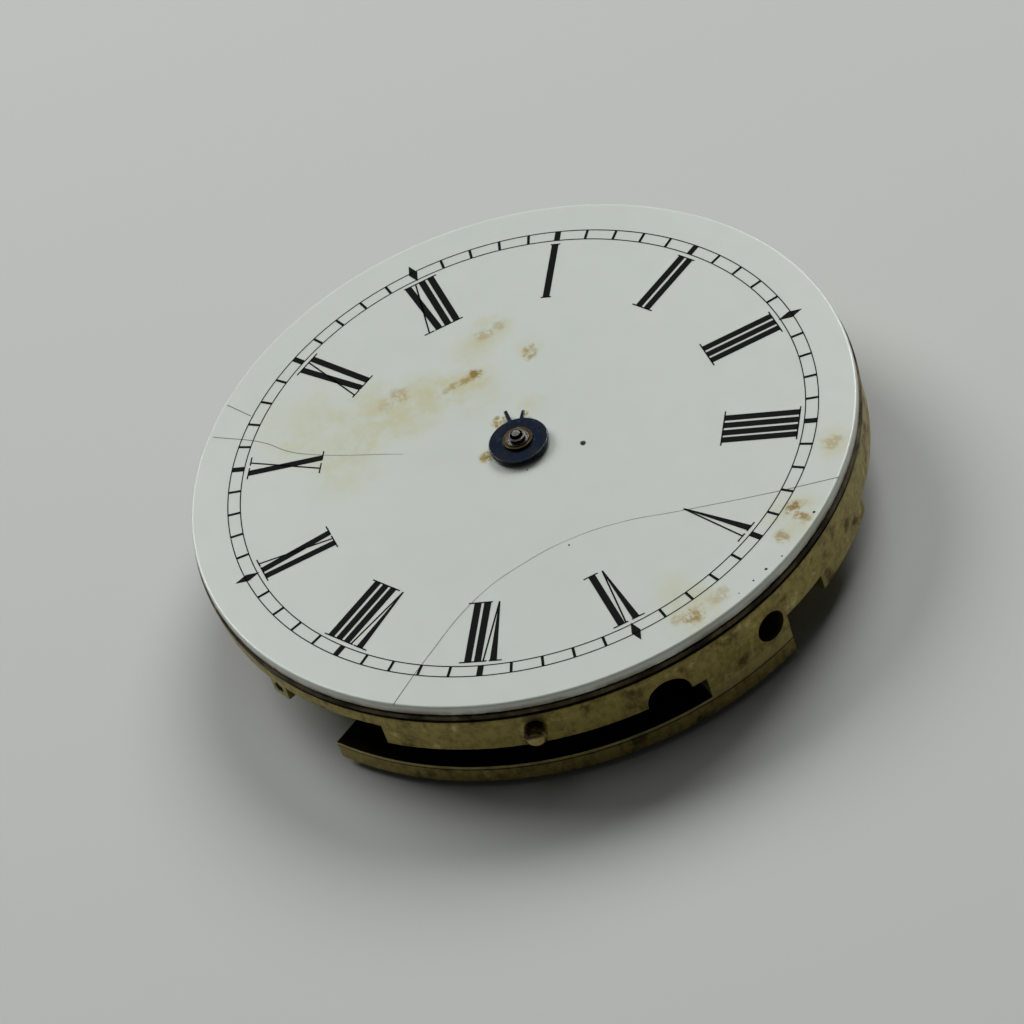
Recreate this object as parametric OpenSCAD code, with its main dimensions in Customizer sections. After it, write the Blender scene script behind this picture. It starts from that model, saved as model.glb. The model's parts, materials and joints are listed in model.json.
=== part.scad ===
// Pocket watch movement, dial up: a bar movement with lever escapement.
// +Z is up through the dial, +Y points at twelve, and z = 0 is the table it lies on.

/* [Dial] */
// Diameter of the enamel dial
dial_d = 40.9; // [39.4:0.1:41.4]
// Thickness of the enamel
dial_t = 0.72; // [0.6:0.02:0.9]
// Radius of the rounded enamel edge
dial_edge_r = 0.14; // [0.08:0.02:0.3]
// Thickness of the copper base under the enamel
base_t = 0.64; // [0.5:0.02:0.7]
// How far the rim of the copper base stands out past the enamel
base_lip = 0.1; // [0.05:0.05:0.2]
// Diameter of the dial's centre hole
dial_hole_d = 2.3; // [2.1:0.1:3]
// Diameter of a dial foot
dial_foot_d = 0.9; // [0.8:0.1:1]
// How far a dial foot stands in from the edge of the plate
dial_foot_in = 2.15; // [1.9:0.05:2.4]

/* [Plate] */
// How far the pillar plate stands out past the dial
plate_lip = 0; // [0:0.05:0.3]
// Full thickness of the plate
plate_t = 2.36; // [2.2:0.02:2.6]
// Thickness of the thin flange under the dial
flange_t = 0.81; // [0.75:0.02:0.9]
// Depth of the recess for the motion work
motion_depth = 0.71; // [0.68:0.01:0.8]
// Web left between the motion recess and the barrel
web_t = 0.5; // [0.3:0.05:0.6]

/* [Bridges] */
// Thickness of the barrel bridge and the bars
bridge_t = 1.27; // [1.2:0.01:1.4]
// Space between the bridges and the plate
bridge_gap = 1.63; // [1.6:0.01:1.8]
// Height of the bridge screw heads, on which the movement lies
head_h = 0.5; // [0.42:0.02:0.6]
// Diameter of the bridge screw heads
head_d = 2.2; // [1.8:0.1:2.4]
// Diameter of the bridge screw shanks
shank_d = 1.0; // [0.8:0.05:1.2]
// Width of a bar at its foot
bar_foot_d = 3.8; // [3.4:0.1:4]
// Width of a bar at its jewel
bar_tip_d = 3.2; // [2.8:0.1:3.4]

/* [Mounts] */
// Diameter of the stem hole
stem_d = 2.0; // [1.6:0.1:2.1]
// Height of the stem axis above the plate's lower face
stem_rise = 0.28; // [0.2:0.02:0.35]
// Diameter of the setting pin hole
set_hole_d = 2.8; // [2:0.1:2.8]
// Diameter of the case locating pin
case_pin_d = 1.38; // [1:0.02:1.6]
// Diameter of the pin's shank in the plate
case_shank_d = 1.0; // [0.8:0.02:1.06]
// How far the case locating pin stands out
case_pin_out = 0.85; // [0.5:0.05:1]
// Diameter of the cannon pinion's seat, which takes the minute hand
cannon_d = 1.08; // [1:0.02:1.1]
// Diameter of the hour wheel's pipe, which takes the hour hand
hour_pipe_d = 1.82; // [1.7:0.02:2]
// Diameter of the hour hand's boss
boss_d = 3.58; // [3:0.02:4]

/* [Train] */
// Module of the barrel teeth
barrel_m = 0.19; // [0.185:0.001:0.195]
// Module of the centre wheel
centre_m = 0.17; // [0.165:0.001:0.175]
// Module of the third wheel
third_m = 0.15; // [0.145:0.001:0.155]
// Module of the fourth wheel
fourth_m = 0.13; // [0.125:0.001:0.135]
// Module of the motion work
motion_m = 0.2; // [0.195:0.001:0.205]
// Module of the winding wheels
winding_m = 0.25; // [0.245:0.001:0.255]
// Thickness of the train wheels
wheel_t = 0.22; // [0.16:0.02:0.26]
// Outer radius of the escape wheel
escape_r = 2.8; // [2.7:0.05:2.9]
// Distance from the pallet arbor to the balance staff
lever_len = 4.2; // [4:0.05:4.4]

/* [Balance] */
// Outer radius of the balance rim
balance_r = 6.1; // [5.8:0.05:6.2]
// Width of the balance rim
rim_w = 0.6; // [0.5:0.05:0.7]
// Height of the balance rim
rim_h = 0.55; // [0.5:0.05:0.6]
// Length of a balance screw head
balance_screw_l = 0.4; // [0.3:0.05:0.45]
// Thickness of the balance cock
cock_t = 0.9; // [0.8:0.05:0.95]
// Space between two turns of the hairspring
hairspring_pitch = 0.52; // [0.5:0.01:0.54]
// Thickness of the hairspring
hairspring_t = 0.08; // [0.06:0.01:0.1]

/* [Hidden] */
$fn = 48;

// Clearances
cut = 0.05;
fit = 0.02;
shake = 0.05;
seat_gap = 0.1;
side_gap = 0.25;

// Colours
enamel = [0.93, 0.94, 0.91];
copper = [0.36, 0.25, 0.15];
gilt = [0.62, 0.56, 0.36];
brass = [0.72, 0.6, 0.34];
steel = [0.62, 0.63, 0.65];
blued = [0.1, 0.14, 0.3];
ruby = [0.7, 0.1, 0.22];

// Heights from the table up
z_bridge_out = head_h;
z_bridge_in = z_bridge_out + bridge_t;
z_plate_low = z_bridge_in + bridge_gap;
z_plate_top = z_plate_low + plate_t;
z_flange_low = z_plate_top - flange_t;
z_base_top = z_plate_top + base_t;
z_dial_top = z_base_top + dial_t;
z_stem = z_plate_low + stem_rise;
boss_rise = 0.68;
z_boss = z_bridge_in + boss_rise;
z_motion = z_plate_top - motion_depth;
z_pocket = z_motion - web_t;
z_barrel_low = z_boss + 0.13;
z_barrel_top = z_pocket - seat_gap;
z_centre = z_bridge_in + 0.18;
z_third = z_plate_low - 0.4;
z_escape = z_plate_low - 0.3;
z_fourth = z_plate_low + 0.5;
z_pallet_cock_top = z_escape - 0.15;
pallet_cock_t = 0.35;
z_pallet_cock = z_pallet_cock_top - pallet_cock_t;
z_rim_top = z_pallet_cock - 0.15;
z_rim = z_rim_top - rim_h;
z_cock = z_bridge_out - 0.1;
z_cock_in = z_cock + cock_t;
z_ratchet = z_bridge_out - 0.15;
ratchet_t = 0.5;
z_ratchet_floor = z_ratchet + ratchet_t + seat_gap;

// Plan places
function polar(r, a) = [r * cos(a), r * sin(a)];
function direction(p, q) = atan2(q.y - p.y, q.x - p.x);
dial_r = dial_d / 2;
plate_r = dial_r + plate_lip;
dial_foot_r = plate_r - dial_foot_in;
rim_back = 0.05;
centre_pos = [0, 0];
stem_a = -69;
set_hole_a = -89.4;
case_pin_a = -111.6;
barrel_n = 80;
centre_pinion_n = 10;
centre_n = 64;
third_pinion_n = 8;
third_n = 60;
fourth_pinion_n = 8;
fourth_n = 70;
escape_pinion_n = 7;
escape_n = 15;
cannon_n = 10;
minute_n = 30;
minute_pinion_n = 8;
hour_n = 32;
setting_n = 20;
ratchet_n = 46;
crown_n = 28;
winding_n = 15;
function mesh_dist(m, n1, n2) = m * (n1 + n2) / 2;
barrel_a = -122;
barrel_pos = polar(mesh_dist(barrel_m, barrel_n, centre_pinion_n), barrel_a);
third_a = 115;
third_pos = polar(mesh_dist(centre_m, centre_n, third_pinion_n), third_a);
fourth_a = 100;
fourth_pos = third_pos + polar(mesh_dist(third_m, third_n, fourth_pinion_n), fourth_a);
escape_a = 20;
escape_pos = fourth_pos + polar(mesh_dist(fourth_m, fourth_n, escape_pinion_n), escape_a);
lever_a = -19.5;
pallet_span = 30;
pallet_pos = escape_pos + polar(escape_r / cos(pallet_span), lever_a);
balance_pos = pallet_pos + polar(lever_len, lever_a);
minute_dist = mesh_dist(motion_m, cannon_n, minute_n);
minute_pos = polar(minute_dist, stem_a);
setting_dist = minute_dist + mesh_dist(motion_m, minute_n, setting_n);
setting_pos = polar(setting_dist, stem_a);

// The crown wheel's axis crosses the stem line, in mesh with the ratchet wheel
barrel_side = norm(barrel_pos) * sin(stem_a - barrel_a);
barrel_along = norm(barrel_pos) * cos(stem_a - barrel_a);
winding_dist = mesh_dist(winding_m, ratchet_n, crown_n);
crown_dist = barrel_along + sqrt(pow(winding_dist, 2) - pow(barrel_side, 2));
crown_pos = polar(crown_dist, stem_a);

// Feet of the bridges and bars
bridge_foot_in = [2.45, 3.25];
bridge_foot_1 = polar(plate_r - bridge_foot_in[0], -77);
bridge_foot_2 = polar(plate_r - bridge_foot_in[1], -145.3);
bridge_foot_3 = barrel_pos + polar(10.2, 158);
third_foot = [-13.5, 8];
fourth_foot = [-8.7, 15.3];
escape_foot = [-2.3, 17];
pallet_foot = [2.45, 16.6];
cock_foot = [15.3, 1.5];
bridge_feet = [bridge_foot_1, bridge_foot_2, bridge_foot_3];
bar_feet = [third_foot, fourth_foot, escape_foot];
dial_foot_angles = [25, 131, -160.5];

// Phase that puts a tooth of the second wheel into a gap of the first one
function mesh_phase(phase1, n1, n2, dir) =
    dir + 180 - (0.5 - (dir - phase1) * n1 / 360) * 360 / n2;
barrel_phase = 0;
centre_pinion_phase =
    mesh_phase(barrel_phase, barrel_n, centre_pinion_n, direction(barrel_pos, centre_pos));
centre_phase = 0;
third_pinion_phase = mesh_phase(centre_phase, centre_n, third_pinion_n, third_a);
third_phase = 0;
fourth_pinion_phase = mesh_phase(third_phase, third_n, fourth_pinion_n, fourth_a);
fourth_phase = 0;
escape_pinion_phase = mesh_phase(fourth_phase, fourth_n, escape_pinion_n, escape_a);
cannon_phase = 0;
minute_phase = mesh_phase(cannon_phase, cannon_n, minute_n, stem_a);
minute_pinion_phase = 0;
hour_phase = mesh_phase(minute_pinion_phase, minute_pinion_n, hour_n, stem_a + 180);
setting_phase = mesh_phase(minute_phase, minute_n, setting_n, stem_a);
ratchet_phase = 0;
crown_phase = mesh_phase(ratchet_phase, ratchet_n, crown_n, direction(barrel_pos, crown_pos));

// Teeth of a wheel or leaves of a pinion, as shares of the module and the pitch
wheel_tooth = [0.42, 1, 1.25];
leaf_tooth = [0.32, 0.7, 1.3];
function tip_r(n, m, tooth) = m * (n / 2 + tooth[1]);
function root_r(n, m, tooth) = m * (n / 2 - tooth[2]);
function gear_points(n, m, tooth, phase) =
    let (r = n * m / 2, half = tooth[0] * 180 / n, root = root_r(n, m, tooth))
    [for (i = [0 : n - 1]) let (c = phase + i * 360 / n) each [
        polar(root, c - half),
        polar(r, c - half),
        polar(r + 0.6 * tooth[1] * m, c - 0.75 * half),
        polar(r + tooth[1] * m, c - 0.3 * half),
        polar(r + tooth[1] * m, c + 0.3 * half),
        polar(r + 0.6 * tooth[1] * m, c + 0.75 * half),
        polar(r, c + half),
        polar(root, c + half)
    ]];

module at(p) {
    translate([p.x, p.y, 0]) children();
}

module slab(z0, z1) {
    translate([0, 0, z0]) linear_extrude(height = z1 - z0) children();
}

module rod(p, r, z0, z1) {
    translate([p.x, p.y, z0]) cylinder(r = r, h = z1 - z0);
}

module ring(p, r_out, r_in, z0, z1) {
    difference() {
        rod(p, r_out, z0, z1);
        rod(p, r_in, z0 - cut, z1 + cut);
    }
}

// Outline of two circles of any size and their outer tangents
arc_steps = 10;
function arc_points(p, r, a0, a1) =
    [for (i = [0 : arc_steps]) p + polar(r, a0 + (a1 - a0) * i / arc_steps)];
module capsule(p1, r1, p2, r2) {
    a = direction(p1, p2);
    b = acos((r1 - r2) / norm(p2 - p1));
    polygon(concat(arc_points(p1, r1, a + b, a + 360 - b), arc_points(p2, r2, a - b, a + b)));
}

module wedge(r, a0, a1) {
    steps = ceil((a1 - a0) / 45);
    polygon([[0, 0], for (i = [0 : steps]) polar(r * 1.5, a0 + (a1 - a0) * i / steps)]);
}

module sector(r, a0, a1) {
    intersection() {
        circle(r = r);
        wedge(r, a0, a1);
    }
}

// A piece of a disc between two angles, closed by a straight line at the radius root
module rim_part(r, root, a0, a1) {
    steps = 3;
    intersection() {
        circle(r = r);
        polygon([
            polar(root, a0),
            for (i = [0 : steps]) polar(r * 1.5, a0 + (a1 - a0) * i / steps),
            polar(root, a1)
        ]);
    }
}

module gear(n, m, tooth, phase) {
    polygon(gear_points(n, m, tooth, phase));
}

// A toothed rim on a hub with straight arms
module wheel(n, m, phase, rim, hub_r, bore_r, arms, arm_w) {
    inner = root_r(n, m, wheel_tooth) - rim;
    difference() {
        union() {
            difference() {
                gear(n, m, wheel_tooth, phase);
                circle(r = inner);
            }
            circle(r = hub_r);
            for (i = [0 : arms - 1]) rotate(i * 360 / arms) translate([0, -arm_w / 2])
                square([inner + rim / 2, arm_w]);
        }
        circle(r = bore_r);
    }
}

// Places a shape with its local z along a radius of the movement
module radial(a, z) {
    translate([0, 0, z]) rotate([0, 0, a]) rotate([0, 90, 0]) children();
}

// A slotted screw whose head points down at the back of the movement
module screw(p, z_head, head_r, head_t, shank_r, z_end) {
    slot_w = head_r * 0.24;
    slot_t = head_t * 0.45;
    difference() {
        union() {
            rod(p, head_r, z_head, z_head + head_t);
            rod(p, shank_r, z_head + head_t, z_end);
        }
        translate([p.x - head_r - cut, p.y - slot_w / 2, z_head - cut])
            cube([2 * (head_r + cut), slot_w, slot_t + cut]);
    }
}

// Dial

foot_l = 1.6;
module dial_enamel() {
    e = dial_edge_r;
    steps = 6;
    color(enamel) rotate_extrude() polygon([
        [dial_hole_d / 2, z_base_top],
        [dial_r - e / 2, z_base_top],
        [dial_r, z_base_top + e / 2],
        for (i = [0 : steps]) [dial_r - e, z_dial_top - e] + polar(e, 90 * i / steps),
        [dial_hole_d / 2, z_dial_top]
    ]);
}

module dial_copper_base() {
    base_under = 0.35;
    base_rim_h = 0.3;
    color(copper) {
        rotate_extrude() polygon([
            [dial_hole_d / 2, z_plate_top],
            [dial_r - base_under, z_plate_top],
            [dial_r + base_lip, z_base_top - base_rim_h],
            [dial_r + base_lip, z_base_top],
            [dial_hole_d / 2, z_base_top]
        ]);
        for (a = dial_foot_angles)
            rod(polar(dial_foot_r, a), dial_foot_d / 2, z_plate_top - foot_l, z_plate_top);
    }
}

foot_screw_d = 0.7;
z_foot_screw = z_flange_low - 0.4;
module dial_foot_screws() {
    start = dial_foot_r + dial_foot_d / 2 + fit;
    length = plate_r - start - seat_gap;
    slot_w = 0.16;
    color(steel) for (a = dial_foot_angles) radial(a, z_foot_screw) translate([0, 0, start])
        difference() {
            cylinder(d = foot_screw_d, h = length);
            translate([-foot_screw_d, -slot_w / 2, length - slot_w])
                cube([2 * foot_screw_d, slot_w, 2 * slot_w]);
        }
}

// Motion work and hand

z_hour = z_plate_top - 0.31;
hour_t = 0.2;
z_minute = z_motion + 0.07;
hand_lift = 0.2;
hand_t = 0.48;
z_hand = z_dial_top + hand_lift;
z_hand_top = z_hand + hand_t;
z_pipe_top = z_hand_top - fit;
// The minute hand's seat, above a shoulder of the cannon pinion's pipe
hand_shoulder = 0.16;
hand_seat_h = 0.23;
arbor_out = 0.15;
z_shoulder = z_hand_top + fit;
z_cannon_top = z_shoulder + hand_seat_h;
z_arbor_top = z_cannon_top + arbor_out;
cannon_pipe_r = cannon_d / 2 + hand_shoulder;
cannon_bore = 0.8;
post_low = 0.06;

module hour_hand_boss() {
    z0 = z_hand;
    z1 = z_hand_top;
    bevel = 0.12;
    stub_w = 0.34;
    stub_t = 0.22;
    // Broken ends of the two curls that joined the boss to the hand, each as an angle and a length
    stubs = [[78, 0.95], [42, 0.62]];
    r = boss_d / 2;
    bore = hour_pipe_d / 2 + fit / 2;
    color(blued) {
        rotate_extrude() polygon([
            [bore, z0], [r, z0], [r, z1 - bevel], [r - bevel, z1], [bore, z1]
        ]);
        slab(z0, z0 + stub_t) difference() {
            for (s = stubs) rotate(s[0]) translate([0, -stub_w / 2]) square([r + s[1], stub_w]);
            circle(r = r - bevel);
        }
    }
}

module hour_wheel() {
    color(brass) {
        difference() {
            union() {
                slab(z_hour, z_hour + hour_t) gear(hour_n, motion_m, wheel_tooth, hour_phase);
                rod(centre_pos, hour_pipe_d / 2, z_hour + hour_t, z_pipe_top);
            }
            rod(centre_pos, cannon_pipe_r + 2 * fit, z_hour - cut, z_pipe_top + cut);
        }
    }
}

module cannon_pinion() {
    z0 = z_motion + 0.03;
    z1 = z_hour - shake;
    color(steel) difference() {
        union() {
            slab(z0, z1) gear(cannon_n, motion_m, leaf_tooth, cannon_phase);
            rod(centre_pos, cannon_pipe_r, z1, z_shoulder);
            rod(centre_pos, cannon_d / 2, z_shoulder, z_cannon_top);
        }
        rod(centre_pos, cannon_bore / 2, z0 - cut, z_cannon_top + cut);
    }
}

post_d = 0.7;
module minute_wheel() {
    z1 = z_minute + hour_t;
    rim = 0.35;
    hub_r = 1.1;
    bore_r = 0.5;
    arms = 4;
    arm_w = 0.5;
    color(brass) at(minute_pos) difference() {
        union() {
            slab(z_minute, z1) wheel(minute_n, motion_m, minute_phase, rim, hub_r, bore_r, arms, arm_w);
            slab(z_minute, z_plate_top - post_low)
                gear(minute_pinion_n, motion_m, leaf_tooth, minute_pinion_phase);
        }
        cylinder(d = post_d + 2 * fit, h = z_dial_top);
    }
}

module setting_wheel() {
    color(steel) at(setting_pos) slab(z_minute, z_minute + hour_t)
        difference() {
            gear(setting_n, motion_m, wheel_tooth, setting_phase);
            circle(d = post_d + 2 * fit);
        }
}

// Frame

// Face teeth of the crown wheel, and the winding pinion that runs in them
crown_tooth_in = 2.9;
crown_tooth_out = 3.55;
crown_tooth_share = 0.3;
crown_face_r = (crown_tooth_in + crown_tooth_out) / 2;
winding_pitch_m = 2 * crown_face_r / crown_n;
pinion_tooth = [0.34, 0.8, 1.25];
pinion_tip = tip_r(winding_n, winding_pitch_m, pinion_tooth);

barrel_tip = tip_r(barrel_n, barrel_m, wheel_tooth);
centre_leaf_tip = tip_r(centre_pinion_n, barrel_m, leaf_tooth);
thick_a0 = -138;
thick_a1 = 15;
block_a0 = -82.8;
block_a1 = -65.5;
pinion_start = 14.25;
pinion_l = 1.15;
pinion_hub_l = 0.6;
pocket_end = pinion_start + pinion_l + pinion_hub_l + seat_gap;
clutch_start = 11.7;
clutch_l = 2.3;
clutch_r = 1.15;
clutch_travel = 0.7;
block_in = pocket_end;

// Jewels: a pivot place and the radius of its jewel
jewel_r = 0.75;
pivot_r = 0.16;
jewel_t = 0.4;
train_pivots = [third_pos, fourth_pos, escape_pos];

// Lugs that hold the dial feet
lug_in = 3.75;
lug_w = 1.4;
lug_short = 0.5;

// The hollow under the dial side of the plate in which the train runs
module train_recess() {
    difference() {
        wedge(plate_r, thick_a1, thick_a0 + 360);
        for (p = concat([bridge_foot_2, bridge_foot_3, pallet_foot, cock_foot], bar_feet))
            at(p) circle(d = bar_foot_d);
        for (a = dial_foot_angles) rotate(a) translate([plate_r - lug_in, -lug_w / 2])
            square([plate_r, lug_w]);
        circle(r = bar_foot_d);
    }
}

// All that is taken away below the plate around the block of the stem
module around_stem_block() {
    difference() {
        circle(r = plate_r * 1.5);
        difference() {
            wedge(plate_r * 1.5, block_a0, block_a1);
            circle(r = block_in);
        }
    }
}

// The slot in which the winding pinion and the clutch pinion lie
module stem_slot(z0) {
    rotate(stem_a) {
        translate([pinion_start - seat_gap, -pinion_tip - seat_gap, z0])
            cube([pocket_end - pinion_start + seat_gap, 2 * (pinion_tip + seat_gap), z_plate_top]);
        translate([clutch_start - clutch_travel - seat_gap, -clutch_r - seat_gap, z0])
            cube([clutch_l + clutch_travel + 2 * seat_gap, 2 * (clutch_r + seat_gap), z_flange_low - z0]);
    }
}

module pillar_plate() {
    r_motion = 0.3;
    set_hole_rise = 0.05;
    set_hole_in = 3.65;
    color(gilt) {
        difference() {
            rod(centre_pos, plate_r, z_boss, z_plate_top);
            slab(z_boss - cut, z_plate_low) around_stem_block();
            slab(z_plate_low - cut, z_flange_low) train_recess();
            rod(barrel_pos, barrel_tip + side_gap, z_plate_low - cut, z_pocket);
            rod(centre_pos, centre_leaf_tip + side_gap, z_plate_low - cut, z_pocket);
            slab(z_motion, z_plate_top + cut) {
                circle(r = tip_r(hour_n, motion_m, wheel_tooth) + r_motion);
                at(minute_pos) circle(r = tip_r(minute_n, motion_m, wheel_tooth) + r_motion);
                at(setting_pos) circle(r = tip_r(setting_n, motion_m, wheel_tooth) + r_motion);
            }
            stem_slot(z_boss - cut);
            yoke_pocket();
            radial(stem_a, z_stem) translate([0, 0, pocket_end - cut]) cylinder(d = stem_d, h = plate_r);
            radial(set_hole_a, z_plate_low + set_hole_rise) translate([0, 0, plate_r - set_hole_in])
                cylinder(d = set_hole_d, h = plate_r);
            radial(case_pin_a, z_case_pin) translate([0, 0, plate_r - case_pin_in])
                cylinder(d = case_shank_d + 2 * fit, h = plate_r);
            rod(centre_pos, centre_arbor_r + fit, z_pocket - cut, z_plate_top);
            rod(barrel_pos, arbor_top_r + fit, z_pocket - cut, z_plate_top + cut);
            for (p = concat(train_pivots, [pallet_pos, balance_pos]))
                rod(p, jewel_r + fit / 2, z_flange_low - cut, z_plate_top + cut);
            for (p = concat(bridge_feet, bar_feet, [pallet_foot, cock_foot]))
                rod(p, shank_d / 2 + fit, z_boss - cut, z_flange_low);
            for (p = cover_screw_pos) rod(p, cover_shank_r + fit, z_plate_low - cut, z_flange_low);
            for (p = banking_pos) rod(p, banking_r, z_flange_low - cut, z_plate_top + cut);
            rod(yoke_pos, post_d / 2, z_plate_low - cut, z_flange_low);
            for (a = dial_foot_angles) {
                rotate(a) translate([plate_r - lug_in - cut, -lug_w / 2 - cut, z_plate_low - cut])
                    cube([lug_in + 2 * cut, lug_w + 2 * cut, lug_short + cut]);
                rod(polar(dial_foot_r, a), dial_foot_d / 2 + fit, z_plate_low, z_plate_top + cut);
                radial(a, z_foot_screw) translate([0, 0, dial_foot_r])
                    cylinder(d = foot_screw_d + 2 * fit, h = plate_r);
            }
        }
        for (p = [minute_pos, setting_pos]) rod(p, post_d / 2, z_motion, z_plate_top - post_low);
    }
}

case_pin_in = 2.2;
z_case_pin = z_plate_top - 1.18;
module case_locating_pin() {
    tip_bevel = 0.18;
    r = case_pin_d / 2;
    shank_r = case_shank_d / 2;
    neck = case_pin_in + fit / 2;
    length = case_pin_in + case_pin_out;
    color(brass) radial(case_pin_a, z_case_pin) translate([0, 0, plate_r - case_pin_in])
        rotate_extrude() polygon([
            [0, 0], [shank_r, 0], [shank_r, neck], [r, neck],
            [r, length - tip_bevel], [r - tip_bevel, length], [0, length]
        ]);
}

ratchet_tip = tip_r(ratchet_n, winding_m, wheel_tooth);
crown_tip = tip_r(crown_n, winding_m, wheel_tooth);
crown_floor = z_boss - 0.3;
crown_boss_r = crown_tip + side_gap + 0.75;
bridge_a0 = -150;
bridge_a1 = -65.5;
arbor_low_r = 1.28;
arbor_top_r = 0.9;
centre_arbor_r = 0.7;
centre_pivot_r = 0.4;

module barrel_bridge() {
    bridge_root = 8;
    pillar_r = 1.2;
    edge = 0.8;
    centre_boss_r = 2.3;
    arbor_boss_r = 2.2;
    block_lap = 2;
    rim_r = plate_r - rim_back;
    color(gilt) difference() {
        union() {
            slab(z_bridge_out, z_bridge_in) {
                rim_part(rim_r, bridge_root, bridge_a0, bridge_a1);
                circle(r = centre_boss_r);
                at(barrel_pos) circle(r = barrel_tip + edge);
                at(bridge_foot_3) circle(d = bar_foot_d);
            }
            rod(crown_pos, crown_boss_r, z_bridge_out, z_boss);
            rod(barrel_pos, arbor_boss_r, z_bridge_in, z_boss);
            slab(z_bridge_in, z_boss) difference() {
                rim_part(rim_r, bridge_root, block_a0, block_a1);
                circle(r = block_in - block_lap);
            }
            for (p = [bridge_foot_2, bridge_foot_3]) rod(p, pillar_r, z_bridge_in, z_plate_low);
        }
        rod(barrel_pos, ratchet_tip + side_gap, 0, z_ratchet_floor);
        rod(crown_pos, crown_tip + side_gap, 0, crown_floor);
        rod(crown_pos, crown_screw_r + fit, 0, z_plate_top);
        rotate(stem_a) translate([pinion_start, -pinion_tip, z_stem - pinion_tip] - seat_gap * [1, 1, 1])
            cube([pocket_end - pinion_start + seat_gap, 2 * (pinion_tip + seat_gap), z_plate_low]);
        slab(0, z_ratchet_floor) click_pocket();
        rod(click_pos, click_shank_r + fit, 0, z_plate_top);
        rod(barrel_pos, arbor_low_r + fit, 0, z_plate_top);
        rod(centre_pos, centre_pivot_r + fit, 0, z_plate_top);
        for (p = bridge_feet) rod(p, shank_d / 2 + fit, 0, z_plate_top);
    }
}

foot_step = 0.12;
module bar(foot, tip, foot_top) {
    difference() {
        union() {
            slab(z_bridge_out, z_bridge_in) capsule(foot, bar_foot_d / 2, tip, bar_tip_d / 2);
            rod(foot, bar_foot_d / 2 - foot_step, z_bridge_in, foot_top);
        }
        rod(foot, shank_d / 2 + fit, 0, z_plate_top);
        rod(tip, jewel_r + fit / 2, 0, z_plate_top);
    }
}

module third_bar() {
    color(gilt) bar(third_foot, third_pos, z_plate_low);
}

module fourth_bar() {
    color(gilt) bar(fourth_foot, fourth_pos, z_plate_low);
}

module escape_cock() {
    color(gilt) bar(escape_foot, escape_pos, z_plate_low);
}

module pallet_cock() {
    foot_r = 1.6;
    end_r = 1.25;
    color(gilt) difference() {
        union() {
            slab(z_pallet_cock, z_pallet_cock_top) capsule(pallet_foot, foot_r, pallet_pos, end_r);
            rod(pallet_foot, foot_r - foot_step, z_pallet_cock_top, z_plate_low);
        }
        rod(pallet_foot, shank_d / 2 + fit, 0, z_plate_top);
        rod(pallet_pos, jewel_r + fit / 2, 0, z_plate_top);
    }
}

cock_r = 2.4;
stud_a = 165;
stud_r = 3.25;
stud_pos = balance_pos + polar(stud_r, stud_a);
module balance_cock() {
    lug_r = 0.75;
    foot_r = 2.7;
    color(gilt) difference() {
        union() {
            slab(z_cock, z_cock_in) {
                capsule(cock_foot, foot_r, balance_pos, cock_r);
                capsule(balance_pos, cock_r, stud_pos, lug_r);
            }
            rod(cock_foot, foot_r - 0.2, z_cock_in, z_plate_low);
        }
        rod(cock_foot, shank_d / 2 + fit, 0, z_plate_top);
        rod(balance_pos, jewel_r + fit / 2, 0, z_plate_top);
        for (p = cap_screw_pos) rod(p, cap_shank_r + fit, 0, z_plate_top);
    }
}

cover_t = 1.17;
cover_in = 12.4;
cover_a0 = -55.8;
cover_a1 = -38;
cover_shank_r = 0.4;
cover_head_r = 0.9;
cover_head_t = 0.5;
cover_screw_in = 2.85;
cover_screw_turn = 5;
cover_screw_pos = [
    for (a = [cover_a0 + cover_screw_turn, cover_a1 - cover_screw_turn]) polar(plate_r - cover_screw_in, a)
];
module keyless_cover() {
    z0 = z_plate_low - cover_t;
    color(gilt) difference() {
        slab(z0, z_plate_low) difference() {
            sector(plate_r - rim_back, cover_a0, cover_a1);
            circle(r = cover_in);
        }
        for (p = cover_screw_pos) {
            rod(p, cover_shank_r + fit, 0, z_plate_top);
            rod(p, cover_head_r + fit, 0, z0 + cover_head_t);
        }
        rod(yoke_pos, post_d / 2, 0, z_plate_top);
        rod(crown_pos, crown_boss_r + side_gap, 0, z_boss + seat_gap);
    }
}

module bridge_screws() {
    color(steel) for (p = concat(bridge_feet, bar_feet))
        screw(p, 0, head_d / 2, head_h, shank_d / 2, z_flange_low - seat_gap);
}

module cover_screws() {
    color(steel) for (p = cover_screw_pos)
        screw(p, z_plate_low - cover_t, cover_head_r, cover_head_t, cover_shank_r, z_flange_low - seat_gap);
}

module pallet_cock_screw() {
    head_r = 0.9;
    head_t = 0.4;
    z_head = z_pallet_cock - head_t;
    color(steel) screw(pallet_foot, z_head, head_r, head_t, shank_d / 2, z_flange_low - seat_gap);
}

module balance_cock_screw() {
    head_r = 1.4;
    color(steel) screw(cock_foot, 0, head_r, z_cock, shank_d / 2, z_flange_low - seat_gap);
}

module plate_jewels() {
    color(ruby) for (p = concat(train_pivots, [pallet_pos, balance_pos]))
        ring(p, jewel_r, pivot_r + fit, z_flange_low, z_flange_low + jewel_t);
}

module bridge_jewels() {
    color(ruby) {
        for (p = train_pivots) ring(p, jewel_r, pivot_r + fit, z_bridge_in - jewel_t, z_bridge_in);
        ring(pallet_pos, jewel_r, pivot_r + fit, z_pallet_cock, z_pallet_cock_top);
        ring(balance_pos, jewel_r, pivot_r + fit, z_cock_in - jewel_t, z_cock_in);
    }
}

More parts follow.
